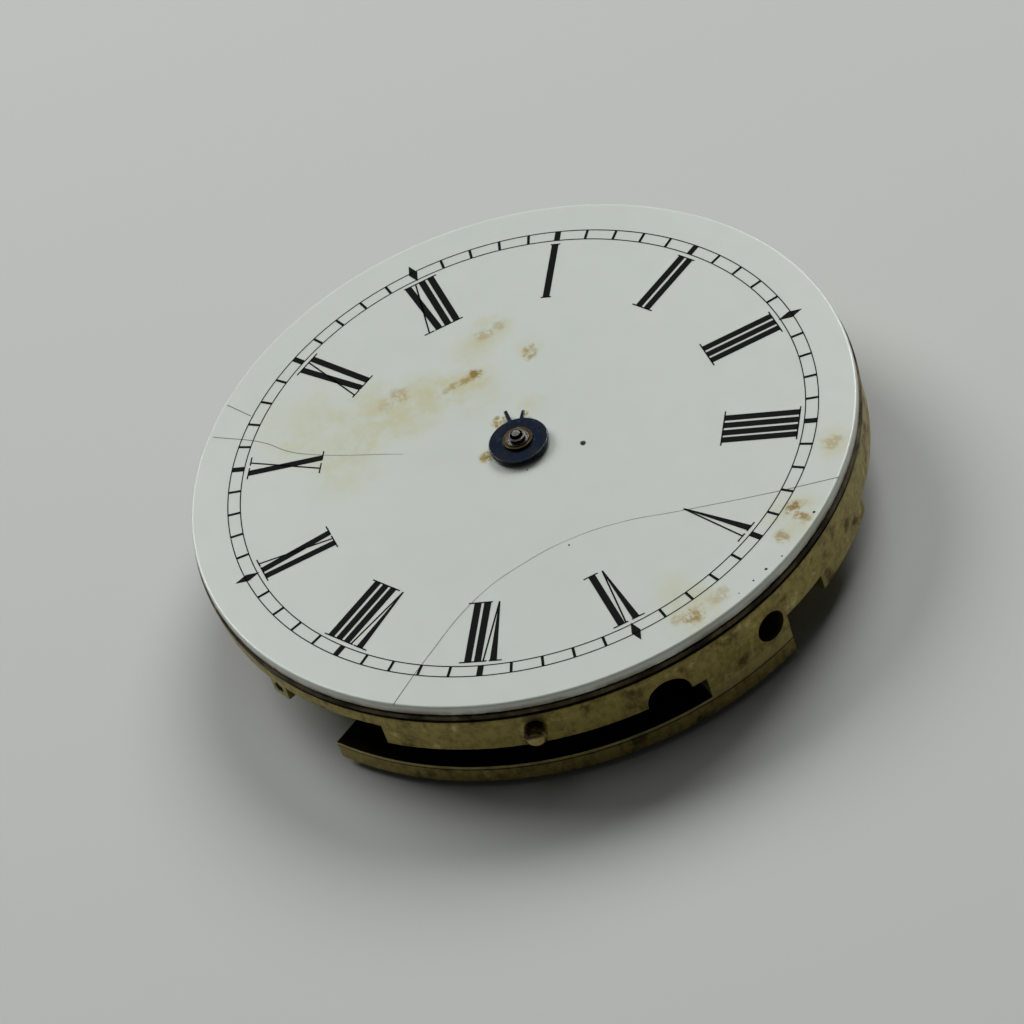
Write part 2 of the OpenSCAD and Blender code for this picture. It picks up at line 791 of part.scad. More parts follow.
cap_r = 1.25;
cap_shank_r = 0.2;
cap_screw_r = 0.98;
cap_screw_pos = [for (a = [40, 220]) balance_pos + polar(cap_screw_r, a)];
cap_t = 0.22;
endstone_r = 0.5;
module endstone_cap() {
    color(steel) difference() {
        ring(balance_pos, cap_r, endstone_r + fit / 2, z_cock - cap_t, z_cock);
        for (p = cap_screw_pos) rod(p, cap_shank_r + fit, 0, z_cock + cut);
    }
}

module endstone() {
    color(ruby) rod(balance_pos, endstone_r, z_cock - cap_t, z_cock);
}

module cap_screws() {
    color(steel) for (p = cap_screw_pos)
        rod(p, cap_shank_r, z_cock - cap_t, z_cock_in - jewel_t);
}

regulator_a = 105;
curb_r = 2.95;
module regulator() {
    ring_w = 0.6;
    gap = 0.04;
    index_l = 5.6;
    pin_r = 0.1;
    pin_turn = 4;
    curb_w = [0.5, 0.35];
    index_w = [0.4, 0.12];
    bore = cap_r + gap;
    color(steel) {
        at(balance_pos) slab(z_cock - cap_t, z_cock) rotate(regulator_a) difference() {
            union() {
                circle(r = bore + ring_w);
                capsule([bore, 0], curb_w[0], [curb_r, 0], curb_w[1]);
                capsule([-bore, 0], index_w[0], [-index_l, 0], index_w[1]);
            }
            circle(r = bore);
        }
        for (d = [-pin_turn, pin_turn])
            rod(balance_pos + polar(curb_r, regulator_a + d), pin_r, z_cock, z_spring - fit);
    }
}

// Barrel

drum_wall = 0.4;
drum_r = root_r(barrel_n, barrel_m, wheel_tooth) - 0.1;
cover_disc_t = 0.3;
tooth_low = z_barrel_top - 0.7;
tooth_high = z_barrel_top - 0.1;
module barrel_drum() {
    inner = drum_r - drum_wall;
    color(gilt) difference() {
        union() {
            rod(barrel_pos, drum_r, z_barrel_low, z_barrel_top);
            at(barrel_pos) slab(tooth_low, tooth_high) gear(barrel_n, barrel_m, wheel_tooth, barrel_phase);
        }
        rod(barrel_pos, inner, 0, z_barrel_top - cover_disc_t);
        rod(barrel_pos, arbor_top_r + fit, 0, z_plate_top);
    }
}

module barrel_cover() {
    z1 = z_barrel_low + cover_disc_t;
    color(gilt) ring(barrel_pos, drum_r - drum_wall, arbor_low_r + fit, z_barrel_low, z1);
}

arbor_core_r = 1.9;
square_w = 1.5;
module barrel_arbor() {
    core_low = z_barrel_low + cover_disc_t + shake;
    core_top = z_barrel_top - cover_disc_t - shake;
    color(steel) difference() {
        union() {
            at(barrel_pos) slab(z_ratchet, z_ratchet + ratchet_t) square(square_w, center = true);
            rod(barrel_pos, arbor_low_r, z_ratchet + ratchet_t, core_low);
            rod(barrel_pos, arbor_core_r, core_low, core_top);
            rod(barrel_pos, arbor_top_r, core_top, z_plate_top - seat_gap);
        }
        rod(barrel_pos, ratchet_shank_r + fit, 0, z_ratchet + ratchet_shank_l + seat_gap);
    }
}

// A flat spiral strip, from its inner to its outer radius
spiral_steps = 24;
function spiral_r(r0, pitch, a) = r0 + pitch * a / 360;
function spiral_points(r0, pitch, t, a0, turns) = [
    for (i = [0 : turns * spiral_steps]) let (a = i * 360 / spiral_steps)
        polar(spiral_r(r0, pitch, a) - t / 2, a0 + a),
    for (i = [turns * spiral_steps : -1 : 0]) let (a = i * 360 / spiral_steps)
        polar(spiral_r(r0, pitch, a) + t / 2, a0 + a)
];
// Least space between neighbouring turns, measured on the strip's own points
function spiral_gap(points, turns) = let (n = turns * spiral_steps + 1)
    min([for (i = [0 : n - spiral_steps - 1]) for (j = [-1 : 1])
        norm(points[2 * n - 1 - i] - points[min(n - 1, i + spiral_steps + j)])]);

spring_t = 0.2;
spring_pitch = 0.66;
spring_turns = 6;
spring_outer = drum_r - drum_wall - spring_t / 2 - fit;
spring_inner = spring_outer - spring_pitch * spring_turns;
spring_strip = spiral_points(spring_inner, spring_pitch, spring_t, 0, spring_turns);
echo(mainspring_gap = spiral_gap(spring_strip, spring_turns));
module mainspring() {
    z0 = z_barrel_low + cover_disc_t + 2 * shake;
    z1 = z_barrel_top - cover_disc_t - 2 * shake;
    color(steel) at(barrel_pos) slab(z0, z1) polygon(spring_strip);
}

ratchet_shank_r = 0.45;
ratchet_shank_l = 1.9;
winding_head_t = 0.25;
module ratchet_wheel() {
    color(steel) at(barrel_pos) slab(z_ratchet, z_ratchet + ratchet_t) difference() {
        gear(ratchet_n, winding_m, wheel_tooth, ratchet_phase);
        square(square_w + 2 * fit, center = true);
    }
}

module ratchet_screw() {
    head_r = 1.6;
    z_head = z_ratchet - winding_head_t;
    z_end = z_ratchet + ratchet_shank_l;
    color(steel) screw(barrel_pos, z_head, head_r, winding_head_t, ratchet_shank_r, z_end);
}

click_pos = barrel_pos + polar(ratchet_tip + 2.35, -84);
click_shank_r = 0.4;
click_tip_pos = barrel_pos + polar(ratchet_tip + 0.42, -108);
spring_foot_pos = barrel_pos + polar(ratchet_tip + 3.2, -122);
module click_pocket() {
    capsule(click_pos, 1.35, click_tip_pos, 0.8);
    capsule(click_tip_pos + polar(0.3, -100), 0.9, spring_foot_pos, 1);
}

module click() {
    color(steel) difference() {
        slab(z_ratchet, z_ratchet + ratchet_t) capsule(click_pos, 1.05, click_tip_pos, 0.34);
        rod(click_pos, click_shank_r + fit, 0, z_plate_top);
    }
}

module click_screw() {
    head_r = 0.85;
    head_t = 0.2;
    z_head = z_ratchet - winding_head_t;
    color(steel) screw(click_pos, z_head, head_r, head_t, click_shank_r, z_bridge_in - seat_gap);
}

module click_spring() {
    leaf_w = 0.14;
    leaf_out = 1.08;
    color(steel) slab(z_ratchet + 0.08, z_ratchet_floor) {
        at(spring_foot_pos) circle(r = 0.7);
        capsule(spring_foot_pos, leaf_w, click_tip_pos + polar(leaf_out, -92), leaf_w / 2);
    }
}

// Winding work

z_crown_tip = crown_floor - 0.07;
z_crown_root = z_stem - pinion_tip - 0.08;
crown_bore = 1.7;
crown_screw_r = 0.5;
module crown_wheel() {
    disc_edge = 0.07;
    half = crown_tooth_share * 180 / crown_n;
    tooth_angles = [for (i = [0 : crown_n - 1]) stem_a + i * 360 / crown_n];
    color(steel) at(crown_pos) difference() {
        union() {
            slab(z_ratchet, z_ratchet + ratchet_t) gear(crown_n, winding_m, wheel_tooth, crown_phase);
            rod(centre_pos, crown_tooth_out + disc_edge, z_ratchet + ratchet_t, z_crown_root);
            slab(z_crown_root - cut, z_crown_tip) for (c = tooth_angles) polygon([
                polar(crown_tooth_in, c - half), polar(crown_tooth_out, c - half),
                polar(crown_tooth_out, c + half), polar(crown_tooth_in, c + half)
            ]);
        }
        cylinder(r = crown_bore + fit, h = z_plate_top);
    }
}

module crown_wheel_core() {
    color(steel) ring(crown_pos, crown_bore, crown_screw_r + fit, z_ratchet, crown_floor);
}

module crown_wheel_screw() {
    head_r = 1.5;
    z_head = z_ratchet - winding_head_t;
    color(steel) screw(crown_pos, z_head, head_r, winding_head_t, crown_screw_r, z_boss - fit);
}

module winding_pinion() {
    stem_step = 0.2;
    bore = stem_d / 2 - stem_step;
    hub_r = 1.3;
    phase = 180 / winding_n;
    color(steel) radial(stem_a, z_stem) translate([0, 0, pinion_start]) difference() {
        union() {
            linear_extrude(height = pinion_l) gear(winding_n, winding_pitch_m, pinion_tooth, phase);
            cylinder(r = hub_r, h = pinion_l + pinion_hub_l);
        }
        translate([0, 0, -cut]) cylinder(r = bore, h = pocket_end);
    }
}

module clutch_pinion() {
    groove_r = 0.85;
    groove_w = 0.7;
    bore_r = 0.55;
    tooth_h = 0.3;
    ratchet_slots = 6;
    ratchet_slot_w = 0.28;
    setting_slots = 12;
    setting_slot_w = 0.2;
    setting_slot_in = 0.7;
    low = (clutch_l - groove_w) / 2;
    high = (clutch_l + groove_w) / 2;
    color(steel) radial(stem_a, z_stem) translate([0, 0, clutch_start]) difference() {
        rotate_extrude() polygon([
            [bore_r, 0], [clutch_r, 0], [clutch_r, low], [groove_r, low],
            [groove_r, high], [clutch_r, high], [clutch_r, clutch_l], [bore_r, clutch_l]
        ]);
        for (i = [1 : ratchet_slots]) rotate(i * 360 / ratchet_slots)
            translate([0, -ratchet_slot_w / 2, clutch_l - tooth_h])
                cube([clutch_r + cut, ratchet_slot_w, clutch_l]);
        for (i = [1 : setting_slots]) rotate(i * 360 / setting_slots)
            translate([setting_slot_in, -setting_slot_w / 2, -cut])
                cube([clutch_r, setting_slot_w, tooth_h + cut]);
    }
}

yoke_pos = polar(14.6, -47);
yoke_tip_side = 1.05;
yoke_tip_pos = polar(clutch_start + clutch_l / 2, stem_a) + polar(yoke_tip_side, stem_a + 90);
yoke_t = 0.4;
z_yoke = z_plate_low + 0.1;
module yoke_pocket() {
    pocket_w = [1.2, 1.3];
    far_end = polar(clutch_start + 0.8, stem_a + 4);
    slab(z_plate_low - cut, z_yoke + yoke_t + seat_gap) capsule(yoke_pos, pocket_w[0], far_end, pocket_w[1]);
}

module clutch_lever() {
    lever_w = [0.75, 0.24];
    pivot_low = 1;
    color(steel) {
        slab(z_yoke, z_yoke + yoke_t) capsule(yoke_pos, lever_w[0], yoke_tip_pos, lever_w[1]);
        rod(yoke_pos, post_d / 2 - fit, z_plate_low - pivot_low, z_flange_low - seat_gap);
    }
}

// Train

module train_wheel(p, z, n, m, phase, bore_r) {
    rim = 0.35;
    hub = 0.4;
    arms = 5;
    arm_w = 0.36;
    color(brass) at(p) slab(z, z + wheel_t) wheel(n, m, phase, rim, bore_r + hub, bore_r, arms, arm_w);
}

// An arbor with leaves from z_leaf0 to z_leaf1 and pivots at both ends
module train_arbor(p, r, n, m, phase, z_leaf0, z_leaf1, z_low, z_high) {
    color(steel) {
        at(p) slab(z_leaf0, z_leaf1) gear(n, m, leaf_tooth, phase);
        rod(p, r, z_low + shake, z_leaf0);
        rod(p, r, z_leaf1, z_high - shake);
        rod(p, pivot_r, z_low - jewel_t, z_low + shake);
        rod(p, pivot_r, z_high - shake, z_high + jewel_t);
    }
}

arbor_r = 0.3;
module centre_wheel() {
    train_wheel(centre_pos, z_centre, centre_n, centre_m, centre_phase, centre_arbor_r);
}

module centre_arbor() {
    leaf_low = tooth_low - 0.15;
    leaf_top = z_pocket - shake;
    tip_step = 0.15;
    color(steel) {
        rod(centre_pos, centre_pivot_r, z_bridge_out + seat_gap, z_bridge_in + shake);
        rod(centre_pos, centre_arbor_r, z_bridge_in + shake, leaf_low);
        slab(leaf_low, leaf_top) gear(centre_pinion_n, barrel_m, leaf_tooth, centre_pinion_phase);
        rod(centre_pos, centre_arbor_r, leaf_top, z_motion);
        rod(centre_pos, cannon_bore / 2, z_motion, z_base_top);
        rod(centre_pos, cannon_bore / 2 - tip_step, z_base_top, z_arbor_top);
    }
}

module third_wheel() {
    train_wheel(third_pos, z_third, third_n, third_m, third_phase, arbor_r);
}

module third_pinion() {
    train_arbor(third_pos, arbor_r, third_pinion_n, centre_m, third_pinion_phase,
        z_centre - 0.1, z_centre + wheel_t + 0.3, z_bridge_in, z_flange_low);
}

module fourth_wheel() {
    train_wheel(fourth_pos, z_fourth, fourth_n, fourth_m, fourth_phase, arbor_r);
}

module fourth_pinion() {
    train_arbor(fourth_pos, arbor_r, fourth_pinion_n, third_m, fourth_pinion_phase,
        z_third - 0.3, z_third + wheel_t + 0.3, z_bridge_in, z_flange_low);
}

escape_arbor_r = 0.24;
module escape_pinion() {
    train_arbor(escape_pos, escape_arbor_r, escape_pinion_n, fourth_m, escape_pinion_phase,
        z_fourth - 0.25, z_fourth + wheel_t + 0.3, z_bridge_in, z_flange_low);
}

// Club teeth that lean forward, on a rim with four arms
module escape_wheel() {
    root = escape_r - 0.75;
    rim = 0.3;
    hub_r = 0.6;
    arms = 4;
    arm_w = 0.26;
    pitch = 360 / escape_n;
    color(steel) at(escape_pos) slab(z_escape, z_escape + wheel_t) difference() {
        union() {
            difference() {
                polygon([for (i = [0 : escape_n - 1]) let (c = i * pitch) each [
                    polar(root, c - pitch * 0.3), polar(escape_r - 0.12, c + pitch * 0.18),
                    polar(escape_r, c + pitch * 0.32), polar(escape_r - 0.3, c + pitch * 0.36),
                    polar(root, c + pitch * 0.2)
                ]]);
                circle(r = root - rim);
            }
            circle(r = hub_r);
            for (i = [1 : arms]) rotate(i * 360 / arms) translate([0, -arm_w / 2])
                square([root - rim / 2, arm_w]);
        }
        circle(r = escape_arbor_r);
    }
}

// Escapement

stone_gap = 0.16;
pallet_arbor_r = 0.18;
stone_l = 0.7;
stone_w = 0.3;
notch_r = 0.85;
function stone_pos(s) = escape_pos + polar(escape_r + stone_gap, lever_a + s * pallet_span);
module stone_shape(s, grow) {
    at(stone_pos(s)) rotate(lever_a + s * pallet_span)
        translate([-grow, -stone_w / 2 - grow]) square([stone_l + 2 * grow, stone_w + 2 * grow]);
}

module pallet_fork() {
    notch_pos = pallet_pos + polar(lever_len - notch_r, lever_a);
    notch_w = 0.38;
    hub_r = 0.55;
    hub_out = 0.3;
    arm_w = [0.26, 0.4];
    stem_w = [0.34, 0.26];
    horn_w = [0.24, 0.14];
    horn_back = 0.3;
    horn_l = 0.26;
    horn_turn = 42;
    function arm_end(s) = stone_pos(s) + polar(stone_l - 0.2, lever_a + s * pallet_span);
    function horn_end(s) = notch_pos + polar(horn_l, lever_a + s * horn_turn);
    color(steel) slab(z_escape, z_escape + wheel_t) difference() {
        union() {
            at(pallet_pos + polar(hub_out, lever_a)) circle(r = hub_r);
            capsule(pallet_pos, stem_w[0], notch_pos, stem_w[1]);
            for (s = [-1, 1]) {
                capsule(pallet_pos, arm_w[0], arm_end(s), arm_w[1]);
                capsule(notch_pos - polar(horn_back, lever_a), horn_w[0], horn_end(s), horn_w[1]);
            }
        }
        at(pallet_pos) circle(r = pallet_arbor_r);
        for (s = [-1, 1]) stone_shape(s, fit / 2);
        at(notch_pos) rotate(lever_a) translate([0, -notch_w / 2]) square([notch_r, notch_w]);
    }
}

module pallet_stones() {
    proud = 0.06;
    color(ruby) slab(z_escape - proud, z_escape + wheel_t + proud) for (s = [-1, 1]) stone_shape(s, 0);
}

module pallet_arbor() {
    color(steel) {
        rod(pallet_pos, pallet_arbor_r, z_pallet_cock_top + shake, z_flange_low - shake);
        rod(pallet_pos, pivot_r, z_pallet_cock, z_pallet_cock_top + shake);
        rod(pallet_pos, pivot_r, z_flange_low - shake, z_flange_low + jewel_t);
    }
}

banking_r = 0.15;
lever_swing = 5;
banking_along = 2.1;
banking_turn = 12.5;
banking_pos = [
    for (s = [-1, 1]) pallet_pos + polar(banking_along, lever_a + s * (lever_swing + banking_turn))
];
module banking_pins() {
    color(brass) for (p = banking_pos) rod(p, banking_r, z_escape - 0.05, z_plate_top - seat_gap);
}

// Balance

staff_r = 0.45;
arm_t = 0.3;
balance_screw_n = 14;
balance_screw_r = 0.27;
balance_shank_r = 0.12;
screw_a0 = 16;
screw_step = 24.5;
screw_angles = [
    for (i = [0 : balance_screw_n / 2 - 1]) for (half = [0, 180]) half + screw_a0 + i * screw_step
];
shank_in = 0.2;
module balance_wheel() {
    rim_in = balance_r - rim_w;
    hub_r = 1.1;
    arm_w = 0.9;
    arm_rise = 0.1;
    slit_w = 0.35;
    slit_turn = 9;
    color(brass) at(balance_pos) rotate(lever_a) difference() {
        union() {
            slab(z_rim, z_rim_top) difference() {
                circle(r = balance_r);
                circle(r = rim_in);
                for (half = [0, 180]) rotate(half + slit_turn) translate([rim_in - cut, 0])
                    square([rim_w + 2 * cut, slit_w]);
            }
            slab(z_rim + arm_rise, z_rim + arm_rise + arm_t) {
                circle(r = hub_r);
                translate([-rim_in - rim_w / 2, -arm_w / 2]) square([2 * rim_in + rim_w, arm_w]);
            }
        }
        cylinder(r = staff_r, h = z_plate_top);
        for (a = screw_angles) translate([0, 0, z_rim + rim_h / 2]) rotate([0, 90, a])
            translate([0, 0, rim_in + shank_in]) cylinder(r = balance_shank_r + fit / 2, h = rim_w);
    }
}

module balance_screws() {
    color(brass) at(balance_pos) rotate(lever_a) for (a = screw_angles)
        translate([0, 0, z_rim + rim_h / 2]) rotate([0, 90, a]) {
            translate([0, 0, balance_r]) cylinder(r = balance_screw_r, h = balance_screw_l);
            translate([0, 0, balance_r - rim_w + shank_in + fit]) cylinder(r = balance_shank_r, h = rim_w);
        }
}

z_spring = z_cock_in + 0.12;
spring_h = 0.15;
collet_r = 0.75;
module balance_staff() {
    z_collet = z_spring - 0.04;
    color(steel) {
        rod(balance_pos, pivot_r, z_cock, z_cock_in + shake);
        rod(balance_pos, staff_r, z_cock_in + shake, z_flange_low - shake);
        rod(balance_pos, collet_r, z_collet, z_spring + spring_h + 0.04);
        rod(balance_pos, pivot_r, z_flange_low - shake, z_flange_low + jewel_t);
    }
}

roller_r = 1.25;
roller_t = 0.2;
module roller() {
    z0 = z_rim_top + 0.15;
    pin_r = 0.14;
    color(steel) ring(balance_pos, roller_r, staff_r, z0, z0 + roller_t);
    color(ruby) rod(balance_pos + polar(notch_r, lever_a + 180), pin_r, z0 + roller_t, z_escape - shake);
}

hairspring_turns = 4;
hairspring_end_r = stud_r - 0.04;
hairspring_r0 = hairspring_end_r - hairspring_pitch * hairspring_turns;
hair_strip = spiral_points(hairspring_r0, hairspring_pitch, hairspring_t, stud_a, hairspring_turns);
echo(hairspring_gap = spiral_gap(hair_strip, hairspring_turns));
module hairspring() {
    color(blued) at(balance_pos) slab(z_spring, z_spring + spring_h) polygon(hair_strip);
}

stud_d = 0.5;
module hairspring_stud() {
    seat = 0.045;
    below = 0.08;
    slit_w = hairspring_t + 2 * seat;
    color(steel) difference() {
        rod(stud_pos, stud_d / 2, z_cock_in, z_spring + spring_h + below);
        at(balance_pos) slab(z_spring - fit, z_spring + spring_h + fit) rotate(stud_a)
            translate([hairspring_end_r - slit_w / 2, -stud_d]) square([slit_w, 2 * stud_d]);
    }
}

dial_enamel();
dial_copper_base();
dial_foot_screws();
hour_hand_boss();
hour_wheel();
cannon_pinion();
minute_wheel();
setting_wheel();
pillar_plate();
case_locating_pin();
barrel_bridge();
third_bar();
fourth_bar();
escape_cock();
pallet_cock();
balance_cock();
keyless_cover();
bridge_screws();
cover_screws();
pallet_cock_screw();
balance_cock_screw();
plate_jewels();
bridge_jewels();
endstone();
endstone_cap();
cap_screws();
regulator();
barrel_drum();
barrel_cover();
barrel_arbor();
mainspring();
ratchet_wheel();
ratchet_screw();
click();
click_screw();
click_spring();
crown_wheel();
crown_wheel_core();
crown_wheel_screw();
winding_pinion();
clutch_pinion();
clutch_lever();
centre_wheel();
centre_arbor();
third_wheel();
third_pinion();
fourth_wheel();
fourth_pinion();
escape_wheel();
escape_pinion();
pallet_fork();
pallet_arbor();
pallet_stones();
banking_pins();
balance_wheel();
balance_screws();
balance_staff();
roller();
hairspring();
hairspring_stud();
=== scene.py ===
# %% [markdown]
# # A pocket watch movement, dressed
#
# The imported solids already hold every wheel, plate and screw at its true place.
# This lesson gives them their finishes, and adds what is printed on the dial and what has happened to it
# in a long life: the numerals, the minute track, hairline cracks, stains and rust.

# %% Load the frame
import json
import math

import bpy
from mathutils import Matrix, Vector


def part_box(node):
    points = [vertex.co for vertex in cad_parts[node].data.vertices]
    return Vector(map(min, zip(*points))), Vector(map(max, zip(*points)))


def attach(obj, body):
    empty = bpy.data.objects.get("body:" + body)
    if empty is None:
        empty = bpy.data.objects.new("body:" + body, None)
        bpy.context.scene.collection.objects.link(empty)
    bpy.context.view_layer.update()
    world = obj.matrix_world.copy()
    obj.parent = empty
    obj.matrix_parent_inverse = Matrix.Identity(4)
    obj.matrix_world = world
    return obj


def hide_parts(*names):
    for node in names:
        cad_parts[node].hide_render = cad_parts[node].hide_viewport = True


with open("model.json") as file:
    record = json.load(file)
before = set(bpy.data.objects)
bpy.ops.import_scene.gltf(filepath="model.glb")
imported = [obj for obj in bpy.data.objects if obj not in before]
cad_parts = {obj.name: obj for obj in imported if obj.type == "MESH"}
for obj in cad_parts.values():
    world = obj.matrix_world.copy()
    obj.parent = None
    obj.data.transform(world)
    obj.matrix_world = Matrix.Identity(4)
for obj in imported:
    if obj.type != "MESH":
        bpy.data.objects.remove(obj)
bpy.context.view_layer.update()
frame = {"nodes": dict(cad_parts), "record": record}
nodes = frame["nodes"]
MM = 0.001
bpy.ops.object.select_all(action="DESELECT")

# %% [markdown]
# ## Camera
#
# The photograph was taken from about a third of a metre away with a long lens, a little to the left of
# six o'clock, and the camera was tilted. The twelve numerals and the two rings of the track fix all of
# that, so the camera is written as a place and three directions: right, up and back.

# %% Camera
LENS = 191.97
SENSOR = 36.0
NEAREST = 0.01
CAMERA_PLACE = (-32.753, -233.802, 229.673)
CAMERA_RIGHT = (0.89511234, -0.36585472, -0.25480233)
CAMERA_UP = (0.435752, 0.59701245, 0.67356985)
CAMERA_BACK = (-0.09430854, -0.7139513, 0.69381513)

bpy.ops.object.camera_add()
camera = bpy.context.object
camera.name = "photo_camera"
camera.data.lens = LENS
camera.data.sensor_width = SENSOR
camera.data.clip_start = NEAREST
turn = Matrix((CAMERA_RIGHT, CAMERA_UP, CAMERA_BACK)).transposed().to_4x4()
camera.matrix_world = Matrix.Translation(Vector(CAMERA_PLACE) * MM) @ turn
bpy.context.scene.camera = camera
print("camera at", [round(c, 4) for c in camera.location])

# %% [markdown]
# ## Floor and light
#
# The movement lies on a pale grey sheet. Its shadow falls towards the camera and to both sides, and the
# black print shows no glare, so the light comes from behind on the left and the right, and nothing bright
# stands straight behind. Two broad lamps do that, a weak one overhead softens them, and the world fills
# the rest. The sheet lies a hair below the lowest screws, so that no two faces share a place.

# %% Floor
FLOOR_SIZE = 2.4
FLOOR_DROP = 0.02 * MM
FLOOR_TONE = (0.543, 0.557, 0.537, 1.0)
FLOOR_ROUGHNESS = 0.7
FLOOR_SPECULAR = 0.2


def new_material(name):
    """An empty node material and its Principled shader."""
    material = bpy.data.materials.new(name)
    material.use_nodes = True
    return material, material.node_tree, material.node_tree.nodes["Principled BSDF"]


bpy.ops.mesh.primitive_plane_add(size=FLOOR_SIZE, location=(0, 0, -FLOOR_DROP))
floor = bpy.context.object
floor.name = "floor"
floor_material, _, floor_shader = new_material("pale_sheet")
floor_shader.inputs["Base Color"].default_value = FLOOR_TONE
floor_shader.inputs["Roughness"].default_value = FLOOR_ROUGHNESS
floor_shader.inputs["Specular IOR Level"].default_value = FLOOR_SPECULAR
floor.data.materials.append(floor_material)
print("floor", floor.dimensions[:])

# %% Lamps
WORLD_TONE = (0.96, 1.0, 0.97, 1.0)
WORLD_STRENGTH = 0.035
# Each lamp: compass angle and height angle in degrees, distance and width in metres, power in watts
LAMPS = {
    "window_right": (50, 41, 0.9, 0.52, 5.0),
    "window_left": (114, 41, 0.9, 0.52, 4.3),
    "ceiling": (85, 82, 1.0, 0.6, 0.9),
}

for name, (compass, height, distance, width, watts) in LAMPS.items():
    flat = math.cos(math.radians(height)) * distance
    place = Vector((
        flat * math.cos(math.radians(compass)),
        flat * math.sin(math.radians(compass)),
        distance * math.sin(math.radians(height)),
    ))
    bpy.ops.object.light_add(type="AREA", location=place)
    light = bpy.context.object
    light.name = name
    light.data.shape = "DISK"
    light.data.size = width
    light.data.energy = watts
    light.rotation_euler = (-place).to_track_quat("-Z", "Y").to_euler()
world = bpy.data.worlds.new("soft_room")
bpy.context.scene.world = world
world.use_nodes = True
world.node_tree.nodes["Background"].inputs["Color"].default_value = WORLD_TONE
world.node_tree.nodes["Background"].inputs["Strength"].default_value = WORLD_STRENGTH
bpy.context.scene.view_settings.view_transform = "Standard"
print("lamps:", list(LAMPS))

# %% [markdown]
# ## Finishes used by more than one material
#
# Old brass, steel and enamel differ in colour but age in the same ways: the tone drifts in soft clouds,
# dirt gathers in spots, corners and gaps are darkened, partly as grime and partly as painted shade, and
# edges are rubbed bright. Each way is a shader node group, built once and given its own values later. The
# edge group looks at how a slightly rounded normal differs from the true one. The corner group darkens where
# nearby faces hide the surface: painted shade, with some grime. A last group draws the fine rings that a
# lathe leaves round a centre.


# %% Node helpers
def add_node(tree, kind, **settings):
    """A new node with its properties and its named inputs set."""
    made = tree.nodes.new(kind)
    for key, value in settings.items():
        if hasattr(made, key):
            setattr(made, key, value)
        else:
            made.inputs[key].default_value = value
    return made


def feed(tree, value, socket):
    """Link a socket to this one, or set this one to a plain value."""
    if isinstance(value, bpy.types.NodeSocket):
        tree.links.new(value, socket)
    else:
        socket.default_value = value


def calc(tree, operation, first, second):
    """A Math node fed by sockets or plain numbers."""
    made = add_node(tree, "ShaderNodeMath", operation=operation)
    feed(tree, first, made.inputs[0])
    feed(tree, second, made.inputs[1])
    return made.outputs[0]


def part_of(tree, mask, share):
    """A mask taken only in part, by a plain share or by another mask."""
    return calc(tree, "MULTIPLY", mask, share)


def blend_colour(tree, mask, low, high):
    """Low colour where the mask is 0 and high colour where it is 1."""
    made = add_node(tree, "ShaderNodeMix", data_type="RGBA")
    feed(tree, mask, made.inputs[0])
    feed(tree, low, made.inputs[6])
    feed(tree, high, made.inputs[7])
    return made.outputs[2]


def ramp(tree, value, start, end):
    """A smooth mask that is 0 where the value is at the start and 1 where it is at the end."""
    made = add_node(tree, "ShaderNodeMapRange", interpolation_type="SMOOTHSTEP")
    feed(tree, value, made.inputs["Value"])
    feed(tree, start, made.inputs["From Min"])
    feed(tree, end, made.inputs["From Max"])
    return made.outputs["Result"]


def flat_reach(tree, vector, centre):
    """The distance of a place from a centre, seen from above."""
    away = add_node(tree, "ShaderNodeVectorMath", operation="SUBTRACT")
    feed(tree, vector, away.inputs[0])
    feed(tree, centre, away.inputs[1])
    flattened = add_node(tree, "ShaderNodeVectorMath", operation="MULTIPLY")
    feed(tree, away.outputs[0], flattened.inputs[0])
    feed(tree, (1.0, 1.0, 0.0), flattened.inputs[1])
    reach = add_node(tree, "ShaderNodeVectorMath", operation="LENGTH")
    feed(tree, flattened.outputs[0], reach.inputs[0])
    return reach.outputs["Value"]


def start_group(name, inputs, outputs):
    """An empty shader node group with named sockets, and its two end nodes."""
    group = bpy.data.node_groups.new(name, "ShaderNodeTree")
    for title, kind in inputs.items():
        group.interface.new_socket(title, in_out="INPUT", socket_type="NodeSocket" + kind)
    for title, kind in outputs.items():
        group.interface.new_socket(title, in_out="OUTPUT", socket_type="NodeSocket" + kind)
    return group, group.nodes.new("NodeGroupInput"), group.nodes.new("NodeGroupOutput")


print("helpers ready")

# %% Group: cloudy tone
cloud_group, g_in, g_out = start_group(
    "cloudy_tone",
    {"Vector": "Vector", "Scale": "Float", "Seed": "Float", "Low": "Float", "High": "Float"},
    {"Mask": "Float"},
)
cloud = add_node(cloud_group, "ShaderNodeTexNoise", noise_dimensions="4D", Detail=6.0, Roughness=0.62)
for title, socket in (("Vector", "Vector"), ("Scale", "Scale"), ("Seed", "W")):
    feed(cloud_group, g_in.outputs[title], cloud.inputs[socket])
mask = ramp(cloud_group, cloud.outputs["Fac"], g_in.outputs["Low"], g_in.outputs["High"])
feed(cloud_group, mask, g_out.inputs["Mask"])
print("group", cloud_group.name)

